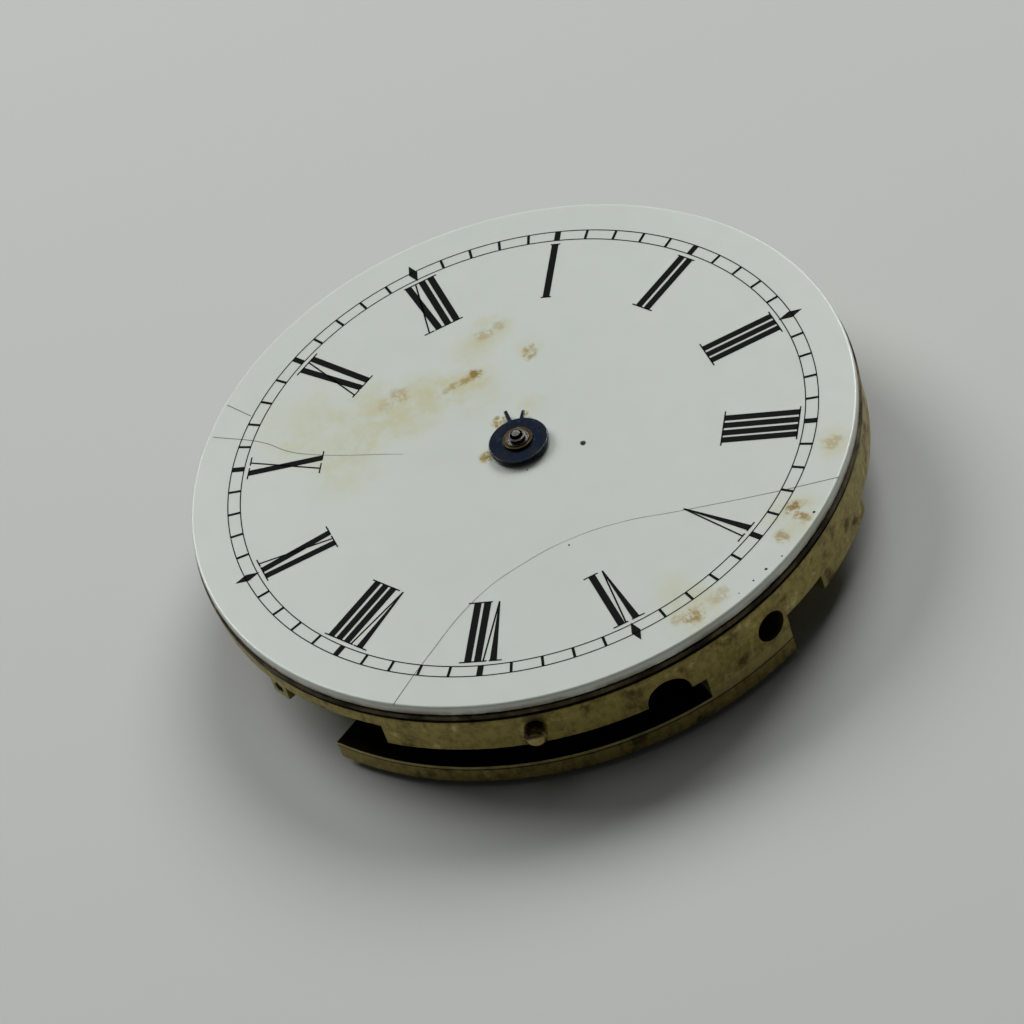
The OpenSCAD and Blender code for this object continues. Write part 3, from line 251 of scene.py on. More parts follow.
# %% Group: stain spot
# The share of a spot's radius where it is gone, and where it is full
SPOT_GONE = 1.15
SPOT_FULL = 0.35
spot_group, g_in, g_out = start_group(
    "stain_spot",
    {"Vector": "Vector", "Centre": "Vector", "Radius": "Float", "Ragged": "Float", "Grain": "Float"},
    {"Mask": "Float"},
)
reach = flat_reach(spot_group, g_in.outputs["Vector"], g_in.outputs["Centre"])
rag = add_node(spot_group, "ShaderNodeTexNoise", Detail=5.0, Roughness=0.65)
feed(spot_group, g_in.outputs["Vector"], rag.inputs["Vector"])
feed(spot_group, g_in.outputs["Grain"], rag.inputs["Scale"])
push = calc(spot_group, "SUBTRACT", rag.outputs["Fac"], 0.5)
push = part_of(spot_group, push, g_in.outputs["Ragged"])
share = calc(spot_group, "DIVIDE", reach, g_in.outputs["Radius"])
share = calc(spot_group, "ADD", share, push)
feed(spot_group, ramp(spot_group, share, SPOT_GONE, SPOT_FULL), g_out.inputs["Mask"])
print("group", spot_group.name)

# %% Group: worn edge
NORMAL_SAMPLES = 4
edge_group, g_in, g_out = start_group(
    "worn_edge",
    {"Radius": "Float", "Sharp": "Float", "Soft": "Float"},
    {"Mask": "Float", "Normal": "Vector"},
)
rounding = add_node(edge_group, "ShaderNodeBevel", samples=NORMAL_SAMPLES)
feed(edge_group, g_in.outputs["Radius"], rounding.inputs["Radius"])
true_face = add_node(edge_group, "ShaderNodeNewGeometry")
likeness = add_node(edge_group, "ShaderNodeVectorMath", operation="DOT_PRODUCT")
feed(edge_group, rounding.outputs["Normal"], likeness.inputs[0])
feed(edge_group, true_face.outputs["Normal"], likeness.inputs[1])
mask = ramp(edge_group, likeness.outputs["Value"], g_in.outputs["Soft"], g_in.outputs["Sharp"])
feed(edge_group, mask, g_out.inputs["Mask"])
feed(edge_group, rounding.outputs["Normal"], g_out.inputs["Normal"])
print("group", edge_group.name)

# %% Group: corner grime and painted shade
corner_group, g_in, g_out = start_group(
    "corner_grime_and_shade", {"Reach": "Float", "Open": "Float", "Closed": "Float"}, {"Mask": "Float"}
)
# Ambient occlusion marks where nearby faces hide the surface; the colour laid there is painted shade as well
# as grime.
shelter = add_node(corner_group, "ShaderNodeAmbientOcclusion", samples=NORMAL_SAMPLES, only_local=True)
feed(corner_group, g_in.outputs["Reach"], shelter.inputs["Distance"])
mask = ramp(corner_group, shelter.outputs["AO"], g_in.outputs["Open"], g_in.outputs["Closed"])
feed(corner_group, mask, g_out.inputs["Mask"])
print("group", corner_group.name)

# %% Group: turned rings
ring_group, g_in, g_out = start_group(
    "turned_rings", {"Vector": "Vector", "Centre": "Vector", "Scale": "Float"}, {"Mask": "Float"}
)
reach = flat_reach(ring_group, g_in.outputs["Vector"], g_in.outputs["Centre"])
rings = add_node(ring_group, "ShaderNodeTexNoise", noise_dimensions="1D", Detail=3.0)
feed(ring_group, part_of(ring_group, reach, g_in.outputs["Scale"]), rings.inputs["W"])
feed(ring_group, rings.outputs["Fac"], g_out.inputs["Mask"])
print("group", ring_group.name)


# %% Placing the groups in a material
def place_group(tree, group, **values):
    """A group placed in a material, with its inputs linked or set by name."""
    made = add_node(tree, "ShaderNodeGroup", node_tree=group)
    for title, value in values.items():
        feed(tree, value, made.inputs[title])
    return made


def clouds(tree, vector, scale, seed, low, high):
    """The mask of a cloudy_tone group."""
    made = place_group(tree, cloud_group, Vector=vector, Scale=scale, Seed=seed, Low=low, High=high)
    return made.outputs["Mask"]


def spot(tree, vector, centre, radius, ragged, grain):
    """The mask of a stain_spot group: centre and radius in millimetres, seen from above."""
    made = place_group(tree, spot_group, Vector=vector, Radius=radius * MM, Ragged=ragged, Grain=grain)
    made.inputs["Centre"].default_value = (centre[0] * MM, centre[1] * MM, 0.0)
    return made.outputs["Mask"]


def worn_edges(tree, radius, soft, sharp):
    """The mask and the rounded normal of a worn_edge group, radius in millimetres."""
    made = place_group(tree, edge_group, Radius=radius * MM, Soft=soft, Sharp=sharp)
    return made.outputs["Mask"], made.outputs["Normal"]


def grimy_shaded_corners(tree, reach, start, full):
    """The mask of the group that darkens hidden corners with painted shade and soiling, reach in millimetres.
    """
    return place_group(tree, corner_group, Reach=reach * MM, Open=start, Closed=full).outputs["Mask"]


def turned_rings(tree, vector, centre, scale):
    """The mask of a turned_rings group about a centre in metres."""
    return place_group(tree, ring_group, Vector=vector, Centre=centre, Scale=scale).outputs["Mask"]


print("groups can be placed")


# %% Places, heights and bumps
UP_START = 0.4
UP_FULL = 0.8


def object_vector(tree, stretch=None):
    """The Object coordinates, in metres in the shared frame, stretched along the axes if wanted."""
    place = add_node(tree, "ShaderNodeTexCoord").outputs["Object"]
    if stretch is None:
        return place
    made = add_node(tree, "ShaderNodeMapping")
    feed(tree, stretch, made.inputs["Scale"])
    feed(tree, place, made.inputs["Vector"])
    return made.outputs["Vector"]


def upward(tree, vector):
    """The Z of a vector."""
    split = add_node(tree, "ShaderNodeSeparateXYZ")
    feed(tree, vector, split.inputs[0])
    return split.outputs["Z"]


def above(tree, vector, start, end):
    """A mask by height that is 0 at the start and 1 at the end, both in millimetres."""
    return ramp(tree, upward(tree, vector), start * MM, end * MM)


def facing_up(tree):
    """A mask of the faces that look up."""
    normal = add_node(tree, "ShaderNodeNewGeometry").outputs["Normal"]
    return ramp(tree, upward(tree, normal), UP_START, UP_FULL)


def add_bump(tree, shader, height, strength, distance, normal=None):
    """Bump from a height socket, distance in millimetres, on top of a rounded normal if there is one."""
    made = add_node(tree, "ShaderNodeBump", Strength=strength, Distance=distance * MM)
    feed(tree, height, made.inputs["Height"])
    if normal is not None:
        feed(tree, normal, made.inputs["Normal"])
    feed(tree, made.outputs["Normal"], shader.inputs["Normal"])


print("measures ready")

# %% [markdown]
# ## Metals
#
# The plate and bridges were gilded, and the gilding is now dull olive with brown patches and bright scuffs.
# Wheels are cleaner brass. Steel pieces are grey with a few brown freckles, and the hand is heat-blued.
# One function makes them all from a table, so that a tone is changed in one place. Some pieces need more:
# a groove drawn as a dark line of painted shade with a painted highlight above it, a dark colour that rises
# to a height, painted shade on the faces that look up, or the rings of a lathe.

# %% Metal tones
# Colours; sizes of clouds and freckles; noise levels of tarnish; least and most roughness; strength of bump;
# width of rubbed edges in millimetres; metal share; reach and two levels of the grime and painted shade in
# corners
# The dark dirt colour is laid both as real dirt and as painted shade.
METALS = {
    "gilt": {
        "base": (0.40, 0.32, 0.095, 1.0), "dark": (0.085, 0.058, 0.018, 1.0),
        "bright": (0.66, 0.56, 0.24, 1.0), "dirt_and_shade": (0.010, 0.008, 0.005, 1.0),
        "clouds": 520.0, "freckles": 2600.0, "tarnish": (0.50, 0.70), "rough": (0.42, 0.68),
        # The gilt's corner darkening reaches far, so it paints shade that turns the gaps between plate and
        # bridge black.
        "bump": 0.4, "edge": 0.07, "metal": 0.8, "grime_and_shade": (5.0, 0.80, 0.50),
    },
    "brass": {
        "base": (0.53, 0.39, 0.15, 1.0), "dark": (0.22, 0.14, 0.05, 1.0),
        "bright": (0.74, 0.62, 0.33, 1.0), "dirt_and_shade": (0.05, 0.035, 0.015, 1.0),
        "clouds": 600.0, "freckles": 3200.0, "tarnish": (0.55, 0.85), "rough": (0.28, 0.48),
        "bump": 0.15, "edge": 0.025, "metal": 1.0, "grime_and_shade": (0.3, 0.7, 0.3),
    },
    "steel": {
        "base": (0.38, 0.38, 0.37, 1.0), "dark": (0.13, 0.10, 0.075, 1.0),
        "bright": (0.62, 0.62, 0.61, 1.0), "dirt_and_shade": (0.05, 0.035, 0.02, 1.0),
        "clouds": 700.0, "freckles": 3600.0, "tarnish": (0.56, 0.82), "rough": (0.26, 0.46),
        "bump": 0.15, "edge": 0.03, "metal": 1.0, "grime_and_shade": (0.3, 0.7, 0.3),
    },
    "blued_steel": {
        "base": (0.004, 0.009, 0.019, 1.0), "dark": (0.010, 0.008, 0.008, 1.0),
        "bright": (0.02, 0.035, 0.055, 1.0), "dirt_and_shade": (0.012, 0.008, 0.005, 1.0),
        "clouds": 1200.0, "freckles": 5200.0, "tarnish": (0.45, 0.72), "rough": (0.34, 0.55),
        "bump": 0.25, "edge": 0.045, "metal": 1.0, "grime_and_shade": (0.3, 0.7, 0.3),
        # The hand's rim: bright steel where the blueing is rubbed off, made pale and wide as a painted
        # highlight too.
        "rim": (0.62, 0.60, 0.55, 1.0), "wear": (0.995, 0.92),
    },
    "copper": {
        "base": (0.085, 0.065, 0.031, 1.0), "dark": (0.022, 0.016, 0.008, 1.0),
        "bright": (0.25, 0.19, 0.09, 1.0), "dirt_and_shade": (0.010, 0.008, 0.005, 1.0),
        "clouds": 500.0, "freckles": 3000.0, "tarnish": (0.40, 0.65), "rough": (0.50, 0.75),
        "bump": 0.3, "edge": 0.03, "metal": 0.7, "grime_and_shade": (0.5, 0.7, 0.3),
    },
}
METALS["bar_gilt"] = {**METALS["gilt"], "tarnish": (0.55, 0.80), "grime_and_shade": (1.2, 0.7, 0.3)}
# Likeness of the rounded and the true normal where wear starts, and where it is full
USUAL_WEAR = (0.985, 0.85)
# Each layer of age: its scale in times the clouds', its seed,
# and the noise levels where it starts and is full
LAYERS = {
    "scuffs": (1.7, 7.0, 0.54, 0.72),
    "streaks": (6.0, 15.0, 0.50, 0.74),
    "mottle": (4.2, 29.0, 0.46, 0.62),
    "rubbing": (2.3, 17.0, 0.32, 0.58),
    "cover": (1.5, 23.0, 0.20, 0.55),
}
print("metal tones:", list(METALS))

# %% Aged metal
STREAK_STRETCH = (1.0, 1.0, 0.14)
LINE_WIDTH = 0.085
LINE_LIGHT = 0.1
RING_SCALE = 14000.0
METAL_BUMP = 0.02


def layer(tree, vector, tone, name):
    """The mask of one layer of age."""
    times, seed, low, high = LAYERS[name]
    return clouds(tree, vector, tone["clouds"] * times, seed, low, high)


def painted_groove_line(tree, vector, tone, colour, line):
    """The colour with painted shade as a fine dark line at a groove's height, and a painted highlight on the
    metal just above it.
    """
    # Painted highlight: a lighter band just above the groove.
    lit = part_of(tree, above(tree, vector, line, line + LINE_LIGHT), 0.35)
    colour = blend_colour(tree, lit, colour, tone["bright"])
    # Painted shade: the dark line inside the groove.
    from_below = above(tree, vector, line - LINE_WIDTH, line)
    from_above = above(tree, vector, line + LINE_WIDTH, line)
    return blend_colour(tree, part_of(tree, from_below, from_above), colour, tone["dirt_and_shade"])


def aged_metal(name, tone, line=None, dirt_and_shade_top=None, shade_on_top=False, turned_about=None):
    """Metal with cloudy tarnish, freckles, scuffs, rubbed edges, and corners darkened with painted shade and
    soiling.

    A line is the height in millimetres of a fine turned groove, drawn as painted shade with a painted
    highlight above it, dirt_and_shade_top is two heights between which a dark colour, painted shade on some
    pieces and soiling on others, comes to cover the piece, settled puts painted shade on the faces that look
    up, and turned_about is the centre of lathe rings.
    """
    material, tree, shader = new_material(name)
    vector = object_vector(tree)
    tarnish = clouds(tree, vector, tone["clouds"], 1.0, *tone["tarnish"])
    freckles = clouds(tree, vector, tone["freckles"], 3.0, 0.58, 0.68)
    streaks = layer(tree, object_vector(tree, STREAK_STRETCH), tone, "streaks")
    rubbed, rounded = worn_edges(tree, tone["edge"], *tone.get("wear", USUAL_WEAR))
    rubbed = part_of(tree, rubbed, layer(tree, vector, tone, "rubbing"))
    grime_and_shade = grimy_shaded_corners(tree, *tone["grime_and_shade"])
    colour = blend_colour(tree, layer(tree, vector, tone, "scuffs"), tone["base"], tone["bright"])
    colour = blend_colour(tree, tarnish, colour, tone["dark"])
    colour = blend_colour(tree, part_of(tree, streaks, 0.45), colour, tone["dark"])
    mottle = layer(tree, vector, tone, "mottle")
    colour = blend_colour(tree, part_of(tree, mottle, 0.35), colour, tone["dark"])
    colour = blend_colour(tree, part_of(tree, freckles, 0.6), colour, tone["dark"])
    # Painted shade, partly grime: dark colour where corners and gaps are hidden.
    colour = blend_colour(tree, part_of(tree, grime_and_shade, 0.85), colour, tone["dirt_and_shade"])
    # Rubbed edges turn bright; on the blued hand the pale rim is also a painted highlight.
    rim = tone.get("rim", tone["bright"])
    colour = blend_colour(tree, part_of(tree, rubbed, 0.8), colour, rim)
    if line is not None:
        colour = painted_groove_line(tree, vector, tone, colour, line)
    # A dark colour that rises to a height: painted shade on the plate and the pin, soiling on the pipes.
    if dirt_and_shade_top is not None:
        cover = part_of(tree, above(tree, vector, *dirt_and_shade_top), layer(tree, vector, tone, "cover"))
        colour = blend_colour(tree, cover, colour, tone["dirt_and_shade"])
    # Painted shade: faces that look up, which lie in the shade under the plate, take the dark colour.
    if shade_on_top:
        colour = blend_colour(tree, facing_up(tree), colour, tone["dirt_and_shade"])
    feed(tree, colour, shader.inputs["Base Color"])
    bare = calc(tree, "SUBTRACT", tone["metal"], part_of(tree, grime_and_shade, 0.5))
    feed(tree, bare, shader.inputs["Metallic"])
    smooth, rough = tone["rough"]
    dull = calc(tree, "ADD", part_of(tree, tarnish, rough - smooth), smooth)
    dull = calc(tree, "SUBTRACT", dull, part_of(tree, rubbed, 0.15))
    feed(tree, dull, shader.inputs["Roughness"])
    relief = freckles
    if turned_about is not None:
        relief = calc(tree, "ADD", freckles, turned_rings(tree, vector, turned_about, RING_SCALE))
    add_bump(tree, shader, relief, tone["bump"], METAL_BUMP, rounded)
    return material


finishes = {name: aged_metal(name, tone) for name, tone in METALS.items()}
print("metals:", list(finishes))

# %% [markdown]
# ## Jewels
#
# The pivots run in red jewels. A dark red with a clear coat looks like them, and needs no light to pass
# through. The polish varies a little, as on stones that have run dry.

# %% Ruby
RUBY_DEEP = (0.30, 0.010, 0.035, 1.0)
RUBY_PALE = (0.52, 0.03, 0.08, 1.0)
RUBY_COAT = 0.6
material, tree, shader = new_material("ruby")
vector = object_vector(tree)
depth = clouds(tree, vector, 900.0, 2.0, 0.35, 0.7)
feed(tree, blend_colour(tree, depth, RUBY_DEEP, RUBY_PALE), shader.inputs["Base Color"])
polish = clouds(tree, vector, 2400.0, 8.0, 0.4, 0.7)
feed(tree, calc(tree, "ADD", part_of(tree, polish, 0.12), 0.08), shader.inputs["Roughness"])
add_bump(tree, shader, polish, 0.08, 0.01)
shader.inputs["Coat Weight"].default_value = RUBY_COAT
finishes["ruby"] = material
print("ruby ready")

# %% [markdown]
# ## Enamel
#
# The dial is white glass fired on copper. Water has left a broad yellow tide mark above the hands and rust
# colours along the lower edge, and the edge is grimy and chipped. Each stain is one spot group, with its
# place read from the photograph, and a finer cloud breaks it into flakes. A little light passes under the
# surface, as it does in glass, and the side of the enamel is painted lighter and warmer for light that glows
# through its edge.

# %% Places of the stains
# Each stain: its place on the dial and its radius in millimetres, and how strong it is
TIDE_SPOTS = [
    ((-10.7, 10.2), 3.2, 0.35), ((-9.6, 7.7), 3.4, 0.45), ((-9.6, 4.6), 2.8, 0.45), ((-6.7, 7.6), 2.9, 0.6),
    ((-5.9, 8.3), 2.2, 0.5), ((-4.8, 6.4), 2.4, 0.55), ((-3.4, 8.1), 1.9, 0.6), ((-2.2, 7.2), 1.8, 0.65),
    ((-1.1, 7.2), 1.4, 0.6), ((-0.2, 7.2), 1.5, 0.6), ((-0.6, 5.2), 2.0, 0.4), ((0.4, 9.6), 1.7, 0.5),
    ((1.9, 10.3), 1.6, 0.7), ((3.0, 10.3), 1.0, 0.6), ((3.6, 7.3), 1.0, 0.6), ((1.9, 2.6), 1.1, 0.6),
    ((3.0, -16.4), 1.8, 0.4), ((3.6, -18.7), 2.1, 0.7), ((11.4, -15.2), 2.2, 0.6),
    ((15.7, -11.3), 1.5, 0.7),
]
RUST_SPOTS = [
    ((-0.1, 7.3), 0.6, 1.0), ((-0.7, 7.25), 0.45, 0.8), ((-1.4, 7.2), 0.4, 0.7), ((-2.1, 7.15), 0.35, 0.55),
    ((3.55, 7.4), 0.5, 0.75), ((3.45, 6.8), 0.5, 0.75), ((1.7, 10.2), 0.7, 0.55), ((2.7, 10.3), 0.5, 0.5),
    ((-4.7, 8.6), 0.7, 0.6), ((-5.7, 8.3), 0.6, 0.4), ((11.75, -14.7), 0.75, 1.0), ((11.7, -15.6), 0.6, 0.9),
    ((10.2, -16.3), 0.75, 0.8), ((3.3, -18.9), 0.75, 0.9), ((2.2, -18.6), 0.5, 0.5),
    ((15.7, -11.3), 0.7, 0.6), ((-2.0, 0.3), 0.6, 1.0), ((-0.3, 2.6), 0.6, 1.0), ((5.2, -18.4), 0.8, 0.5),
    ((-1.95, 0.2), 0.45, 1.0), ((-0.35, 2.45), 0.5, 1.0), ((1.2, 2.3), 0.3, 0.9),
]
SPECKS = [
    ((3.27, -2.16), 0.20), ((-0.66, -9.35), 0.07), ((8.28, -18.12), 0.10), ((7.3, -18.5), 0.07),
    ((12.46, -15.71), 0.10), ((9.47, -17.75), 0.06), ((6.2, -18.9), 0.05), ((-0.4, -2.15), 0.05),
]
print("stains:", len(TIDE_SPOTS) + len(RUST_SPOTS), "specks:", len(SPECKS))

# %% White enamel and its stains
ENAMEL_WHITE = (0.62, 0.667, 0.614, 1.0)
ENAMEL_GREY = (0.60, 0.647, 0.594, 1.0)
SIDE_IVORY_AND_LIGHT = (0.88, 0.88, 0.77, 1.0)
TIDE_TONE = (0.53, 0.50, 0.25, 1.0)
RUST_TONE = (0.42, 0.315, 0.105, 1.0)
RUST_CORE = (0.19, 0.115, 0.024, 1.0)
SPECK_TONE = (0.02, 0.025, 0.015, 1.0)
SIDE_START = 0.05
SIDE_FULL = 0.3

material, tree, shader = new_material("enamel")
vector = object_vector(tree)
dial_low, dial_high = (corner.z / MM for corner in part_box("dial_enamel"))
colour = blend_colour(tree, clouds(tree, vector, 90.0, 4.0, 0.35, 0.75), ENAMEL_WHITE, ENAMEL_GREY)
# Painted light: the side of the enamel takes a lighter, warmer tone, partly its ivory colour and partly light
# glowing through the edge.
side = above(tree, vector, dial_high - SIDE_START, dial_high - SIDE_FULL)
colour = blend_colour(tree, side, colour, SIDE_IVORY_AND_LIGHT)
tide_break = clouds(tree, vector, 700.0, 5.0, 0.25, 0.68)
for centre, radius, weight in TIDE_SPOTS:
    mask = part_of(tree, spot(tree, vector, centre, radius, 1.5, 420.0), tide_break)
    colour = blend_colour(tree, part_of(tree, mask, weight * 0.7), colour, TIDE_TONE)
rust_break = clouds(tree, vector, 2600.0, 9.0, 0.34, 0.54)
for centre, radius, weight in RUST_SPOTS:
    mask = part_of(tree, spot(tree, vector, centre, radius, 2.2, 1500.0), rust_break)
    mask = part_of(tree, mask, weight * 0.9)
    colour = blend_colour(tree, mask, colour, RUST_TONE)
    colour = blend_colour(tree, calc(tree, "POWER", mask, 4.0), colour, RUST_CORE)
for centre, radius in SPECKS:
    mask = part_of(tree, spot(tree, vector, centre, radius, 0.8, 4000.0), 3.0)
    colour = blend_colour(tree, mask, colour, SPECK_TONE)
print("dial from", round(dial_low, 2), "to", round(dial_high, 2), "mm")

# %% Grimy edge and gloss of the enamel
EDGE_GRIME = (0.19, 0.16, 0.105, 1.0)
GRIME_START = 0.1
CHIP_HEIGHT = 0.22
GLOSS = 0.17
TIDE_DULL = 0.06
GLOW_WEIGHT = 0.35
GLOW_DEPTH = 0.35

smeared = clouds(tree, vector, 420.0, 19.0, 0.24, 0.62)
below = part_of(tree, above(tree, vector, dial_high - GRIME_START, dial_low), smeared)
colour = blend_colour(tree, part_of(tree, below, 0.9), colour, EDGE_GRIME)
chips = clouds(tree, vector, 900.0, 21.0, 0.5, 0.6)
chipped = part_of(tree, above(tree, vector, dial_low + CHIP_HEIGHT, dial_low), chips)
colour = blend_colour(tree, chipped, colour, SPECK_TONE)
feed(tree, colour, shader.inputs["Base Color"])
feed(tree, calc(tree, "ADD", part_of(tree, tide_break, TIDE_DULL), GLOSS), shader.inputs["Roughness"])
add_bump(tree, shader, clouds(tree, vector, 260.0, 6.0, 0.2, 0.8), 0.05, 0.05)
shader.inputs["Subsurface Weight"].default_value = GLOW_WEIGHT
shader.inputs["Subsurface Radius"].default_value = (1.0, 1.0, 1.0)
shader.inputs["Subsurface Scale"].default_value = GLOW_DEPTH * MM
finishes["enamel"] = material
print("enamel ready")

# %% [markdown]
# ## Dressing the solids
#
# The record names a material slot for each solid, and the finish of that name goes on it. A few pieces that
# the photograph shows closely get a finish of their own: the plate has painted shade under the dial, the
# bridge has a groove painted as a dark line of shade with a painted highlight above it and painted shade on
# top, the pin has painted shade and a painted dark reflection on its upper half, and the pipes at the centre
# are dark at their feet. The bars on the back lie under a case lid and are cleaner, and the two winding
# wheels show lathe rings.

# %% Finishes on the solids
BAR_THICKNESS = 1.27
BRIDGE_LINE_DOWN = 0.26
BARS = ("third_bar", "fourth_bar", "escape_cock", "pallet_cock", "balance_cock")
WINDING_WHEELS = ("ratchet_wheel", "crown_wheel")
# Where the dark colour starts and where it is full, in millimetres from a level: painted shade under the dial
# on the plate, painted shade and a painted dark reflection on the pin's upper half, soiling on the pipes
PLATE_SHADE = (-0.30, 0.40)
PIN_SHADE = (0.0, 0.25)
PIPE_DIRT = (-0.5, 0.75)
CANNON_DIRT = (-0.5, 1.3)
ARBOR_DIRT = (-0.5, 1.6)


def from_level(level, span):
    """Two heights counted from a level."""
    return level + span[0], level + span[1]


slots = {entry["node"]: entry["material_slot"] for entry in frame["record"]["subparts"]}
cut_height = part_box("third_bar")[0].z / MM + BAR_THICKNESS - BRIDGE_LINE_DOWN
pin_low, pin_high = (corner.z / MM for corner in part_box("case_locating_pin"))
pin_middle = (pin_low + pin_high) / 2
plate_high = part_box("pillar_plate")[1].z / MM
gilt, brass, steel = METALS["gilt"], METALS["brass"], METALS["steel"]
own_finishes = {
    "pillar_plate": aged_metal("plate_gilt", gilt, dirt_and_shade_top=from_level(plate_high, PLATE_SHADE)),
    # The bridge gets a painted groove shade with a painted highlight, and painted shade on its upward faces.
    "barrel_bridge": aged_metal("bridge_gilt", gilt, line=cut_height, shade_on_top=True),
    "case_locating_pin": aged_metal("pin_brass", brass, dirt_and_shade_top=from_level(pin_middle, PIN_SHADE)),
    "hour_wheel": aged_metal("pipe_brass", brass, dirt_and_shade_top=from_level(dial_high, PIPE_DIRT)),
    "cannon_pinion": aged_metal("pipe_steel", steel, dirt_and_shade_top=from_level(dial_high, CANNON_DIRT)),
    "centre_arbor": aged_metal("arbor_steel", steel, dirt_and_shade_top=from_level(dial_high, ARBOR_DIRT)),
}
for name in BARS:
    own_finishes[name] = finishes["bar_gilt"]
for name in WINDING_WHEELS:
    low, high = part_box(name)
    own_finishes[name] = aged_metal(name + "_steel", steel, turned_about=(low + high) / 2)
for name, piece in nodes.items():
    piece.data.materials.clear()
    piece.data.materials.append(own_finishes.get(name) or finishes[slots[name]])
print("dressed", len(nodes), "solids with", len(finishes), "finishes")

# %% [markdown]
# ## Modelling helpers
#
# Operators act on what is selected, so the points of a shape are chosen in code by their place.
# A finished piece is joined from its parts, named, and given its finish and the body that carries it.


# %% Modelling helpers
def deselect():
    """Nothing selected, so that an operator takes only what comes next."""
    bpy.ops.object.select_all(action="DESELECT")


def apply_place():
    """Put the active object's place, turn and scale into its mesh."""
    bpy.ops.object.transform_apply(location=True, rotation=True, scale=True)


def select_points(piece, test):
    """In edit mode, select only the points whose place passes the test."""
    bpy.ops.mesh.select_mode(type="VERT")
    bpy.ops.mesh.select_all(action="DESELECT")
    bpy.ops.object.mode_set(mode="OBJECT")
    for point in piece.data.vertices:
        point.select = test(point.co)
    bpy.ops.object.mode_set(mode="EDIT")


def raise_shape(height):
    """Give a flat shape in edit mode a thickness in millimetres, and leave edit mode."""
    bpy.ops.mesh.select_all(action="SELECT")
    bpy.ops.mesh.extrude_region_move(TRANSFORM_OT_translate={"value": (0, 0, height * MM)})
    bpy.ops.mesh.select_all(action="SELECT")
    bpy.ops.mesh.normals_make_consistent(inside=False)
    bpy.ops.object.mode_set(mode="OBJECT")


def flat_ring(inner, outer, low, high, points):
    """A flat ring drawn out of a circle and raised from one height to another, all in millimetres."""
    deselect()
    bpy.ops.mesh.primitive_circle_add(vertices=points, radius=inner * MM, location=(0, 0, low * MM))
    piece = bpy.context.object
    apply_place()
    bpy.ops.object.mode_set(mode="EDIT")
    bpy.ops.mesh.select_all(action="SELECT")
    bpy.ops.mesh.extrude_edges_move()
    grow = outer / inner
    bpy.ops.transform.resize(value=(grow, grow, 1), center_override=(0, 0, low * MM))
    raise_shape(high - low)
    return piece


def join(pieces, name):
    """Join several objects into one with a name."""
    deselect()
    for piece in pieces:
        piece.select_set(True)
    bpy.context.view_layer.objects.active = pieces[0]
    if len(pieces) > 1:
        bpy.ops.object.join()
    joined = bpy.context.object
    joined.name = name
    deselect()
    return joined


def settle(piece, finish, body):
    """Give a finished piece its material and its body."""
    piece.data.materials.clear()
    piece.data.materials.append(finish)
    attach(piece, body)
    return piece


print("modelling helpers ready")

# %% [markdown]
# ## The broken hour hand
#
# Only the thin blued disc of the hour hand is left on its pipe, with two stubs where the curls of the hand
# broke off. The disc is a ring drawn out of a circle, raised to its thickness, with its upper rim bevelled,
# and a narrow collar below it. It takes the place of the plainer solid and turns with the hour wheel.

# %% Hour hand disc
HAND_BORE = 0.93
HAND_RADIUS = 1.83
HAND_LOW = 7.35
HAND_HIGH = 7.62
HAND_BEVEL = 0.05
HAND_POINTS = 72
COLLAR_RADIUS = 1.3
OVERLAP = 0.02
NEAR = 0.01

disc = flat_ring(HAND_BORE, HAND_RADIUS, HAND_LOW, HAND_HIGH, HAND_POINTS)
bpy.ops.object.mode_set(mode="EDIT")
rim_height = (HAND_HIGH - NEAR) * MM
rim_radius = (HAND_RADIUS - NEAR) * MM
select_points(disc, lambda co: co.z > rim_height and co.xy.length > rim_radius)
bpy.ops.mesh.bevel(offset=HAND_BEVEL * MM, segments=2, affect="EDGES")
bpy.ops.object.mode_set(mode="OBJECT")
boss_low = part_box("hour_hand_boss")[0].z / MM
collar = flat_ring(HAND_BORE, COLLAR_RADIUS, boss_low, HAND_LOW + OVERLAP, HAND_POINTS)
print("disc from", HAND_LOW, "to", HAND_HIGH, "mm, collar from", round(boss_low, 2), "mm")

# %% Stubs of the hand
# Each stub: its angle in degrees, the radius of its tip and its width at root and tip, in millimetres
STUBS = [(84.6, 2.86, 0.34, 0.22), (61.4, 2.56, 0.34, 0.18)]
STUB_ROOT = HAND_RADIUS - 0.3
STUB_HEIGHT = (HAND_HIGH - HAND_LOW) * 0.8
STUB_BEVEL = 0.04
TIP_HEIGHT_SHARE = 0.8


def stub(angle, tip, root_width, tip_width):
    """A short tapered stub that leaves the disc's rim."""
    middle = (tip + STUB_ROOT) / 2 * MM
    deselect()
    bpy.ops.mesh.primitive_cube_add(size=1)
    piece = bpy.context.object
    piece.scale = ((tip - STUB_ROOT) * MM, root_width * MM, STUB_HEIGHT * MM)
    piece.location = (middle, 0, (HAND_HIGH + HAND_LOW) / 2 * MM)
    apply_place()
    bpy.ops.object.mode_set(mode="EDIT")
    select_points(piece, lambda co: co.x > middle)
    taper = (1, tip_width / root_width, TIP_HEIGHT_SHARE)
    bpy.ops.transform.resize(value=taper, center_override=(tip * MM, 0, HAND_LOW * MM))
    bpy.ops.mesh.select_all(action="SELECT")
    bpy.ops.mesh.bevel(offset=STUB_BEVEL * MM, segments=2)
    bpy.ops.object.mode_set(mode="OBJECT")
    piece.rotation_euler.z = math.radians(angle)
    apply_place()
    return piece


hand = join([disc, collar] + [stub(*shape) for shape in STUBS], "hour_hand_stump")
settle(hand, finishes["blued_steel"], "hour")
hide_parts("hour_hand_boss")
print("hour hand stump faces:", len(hand.data.polygons))

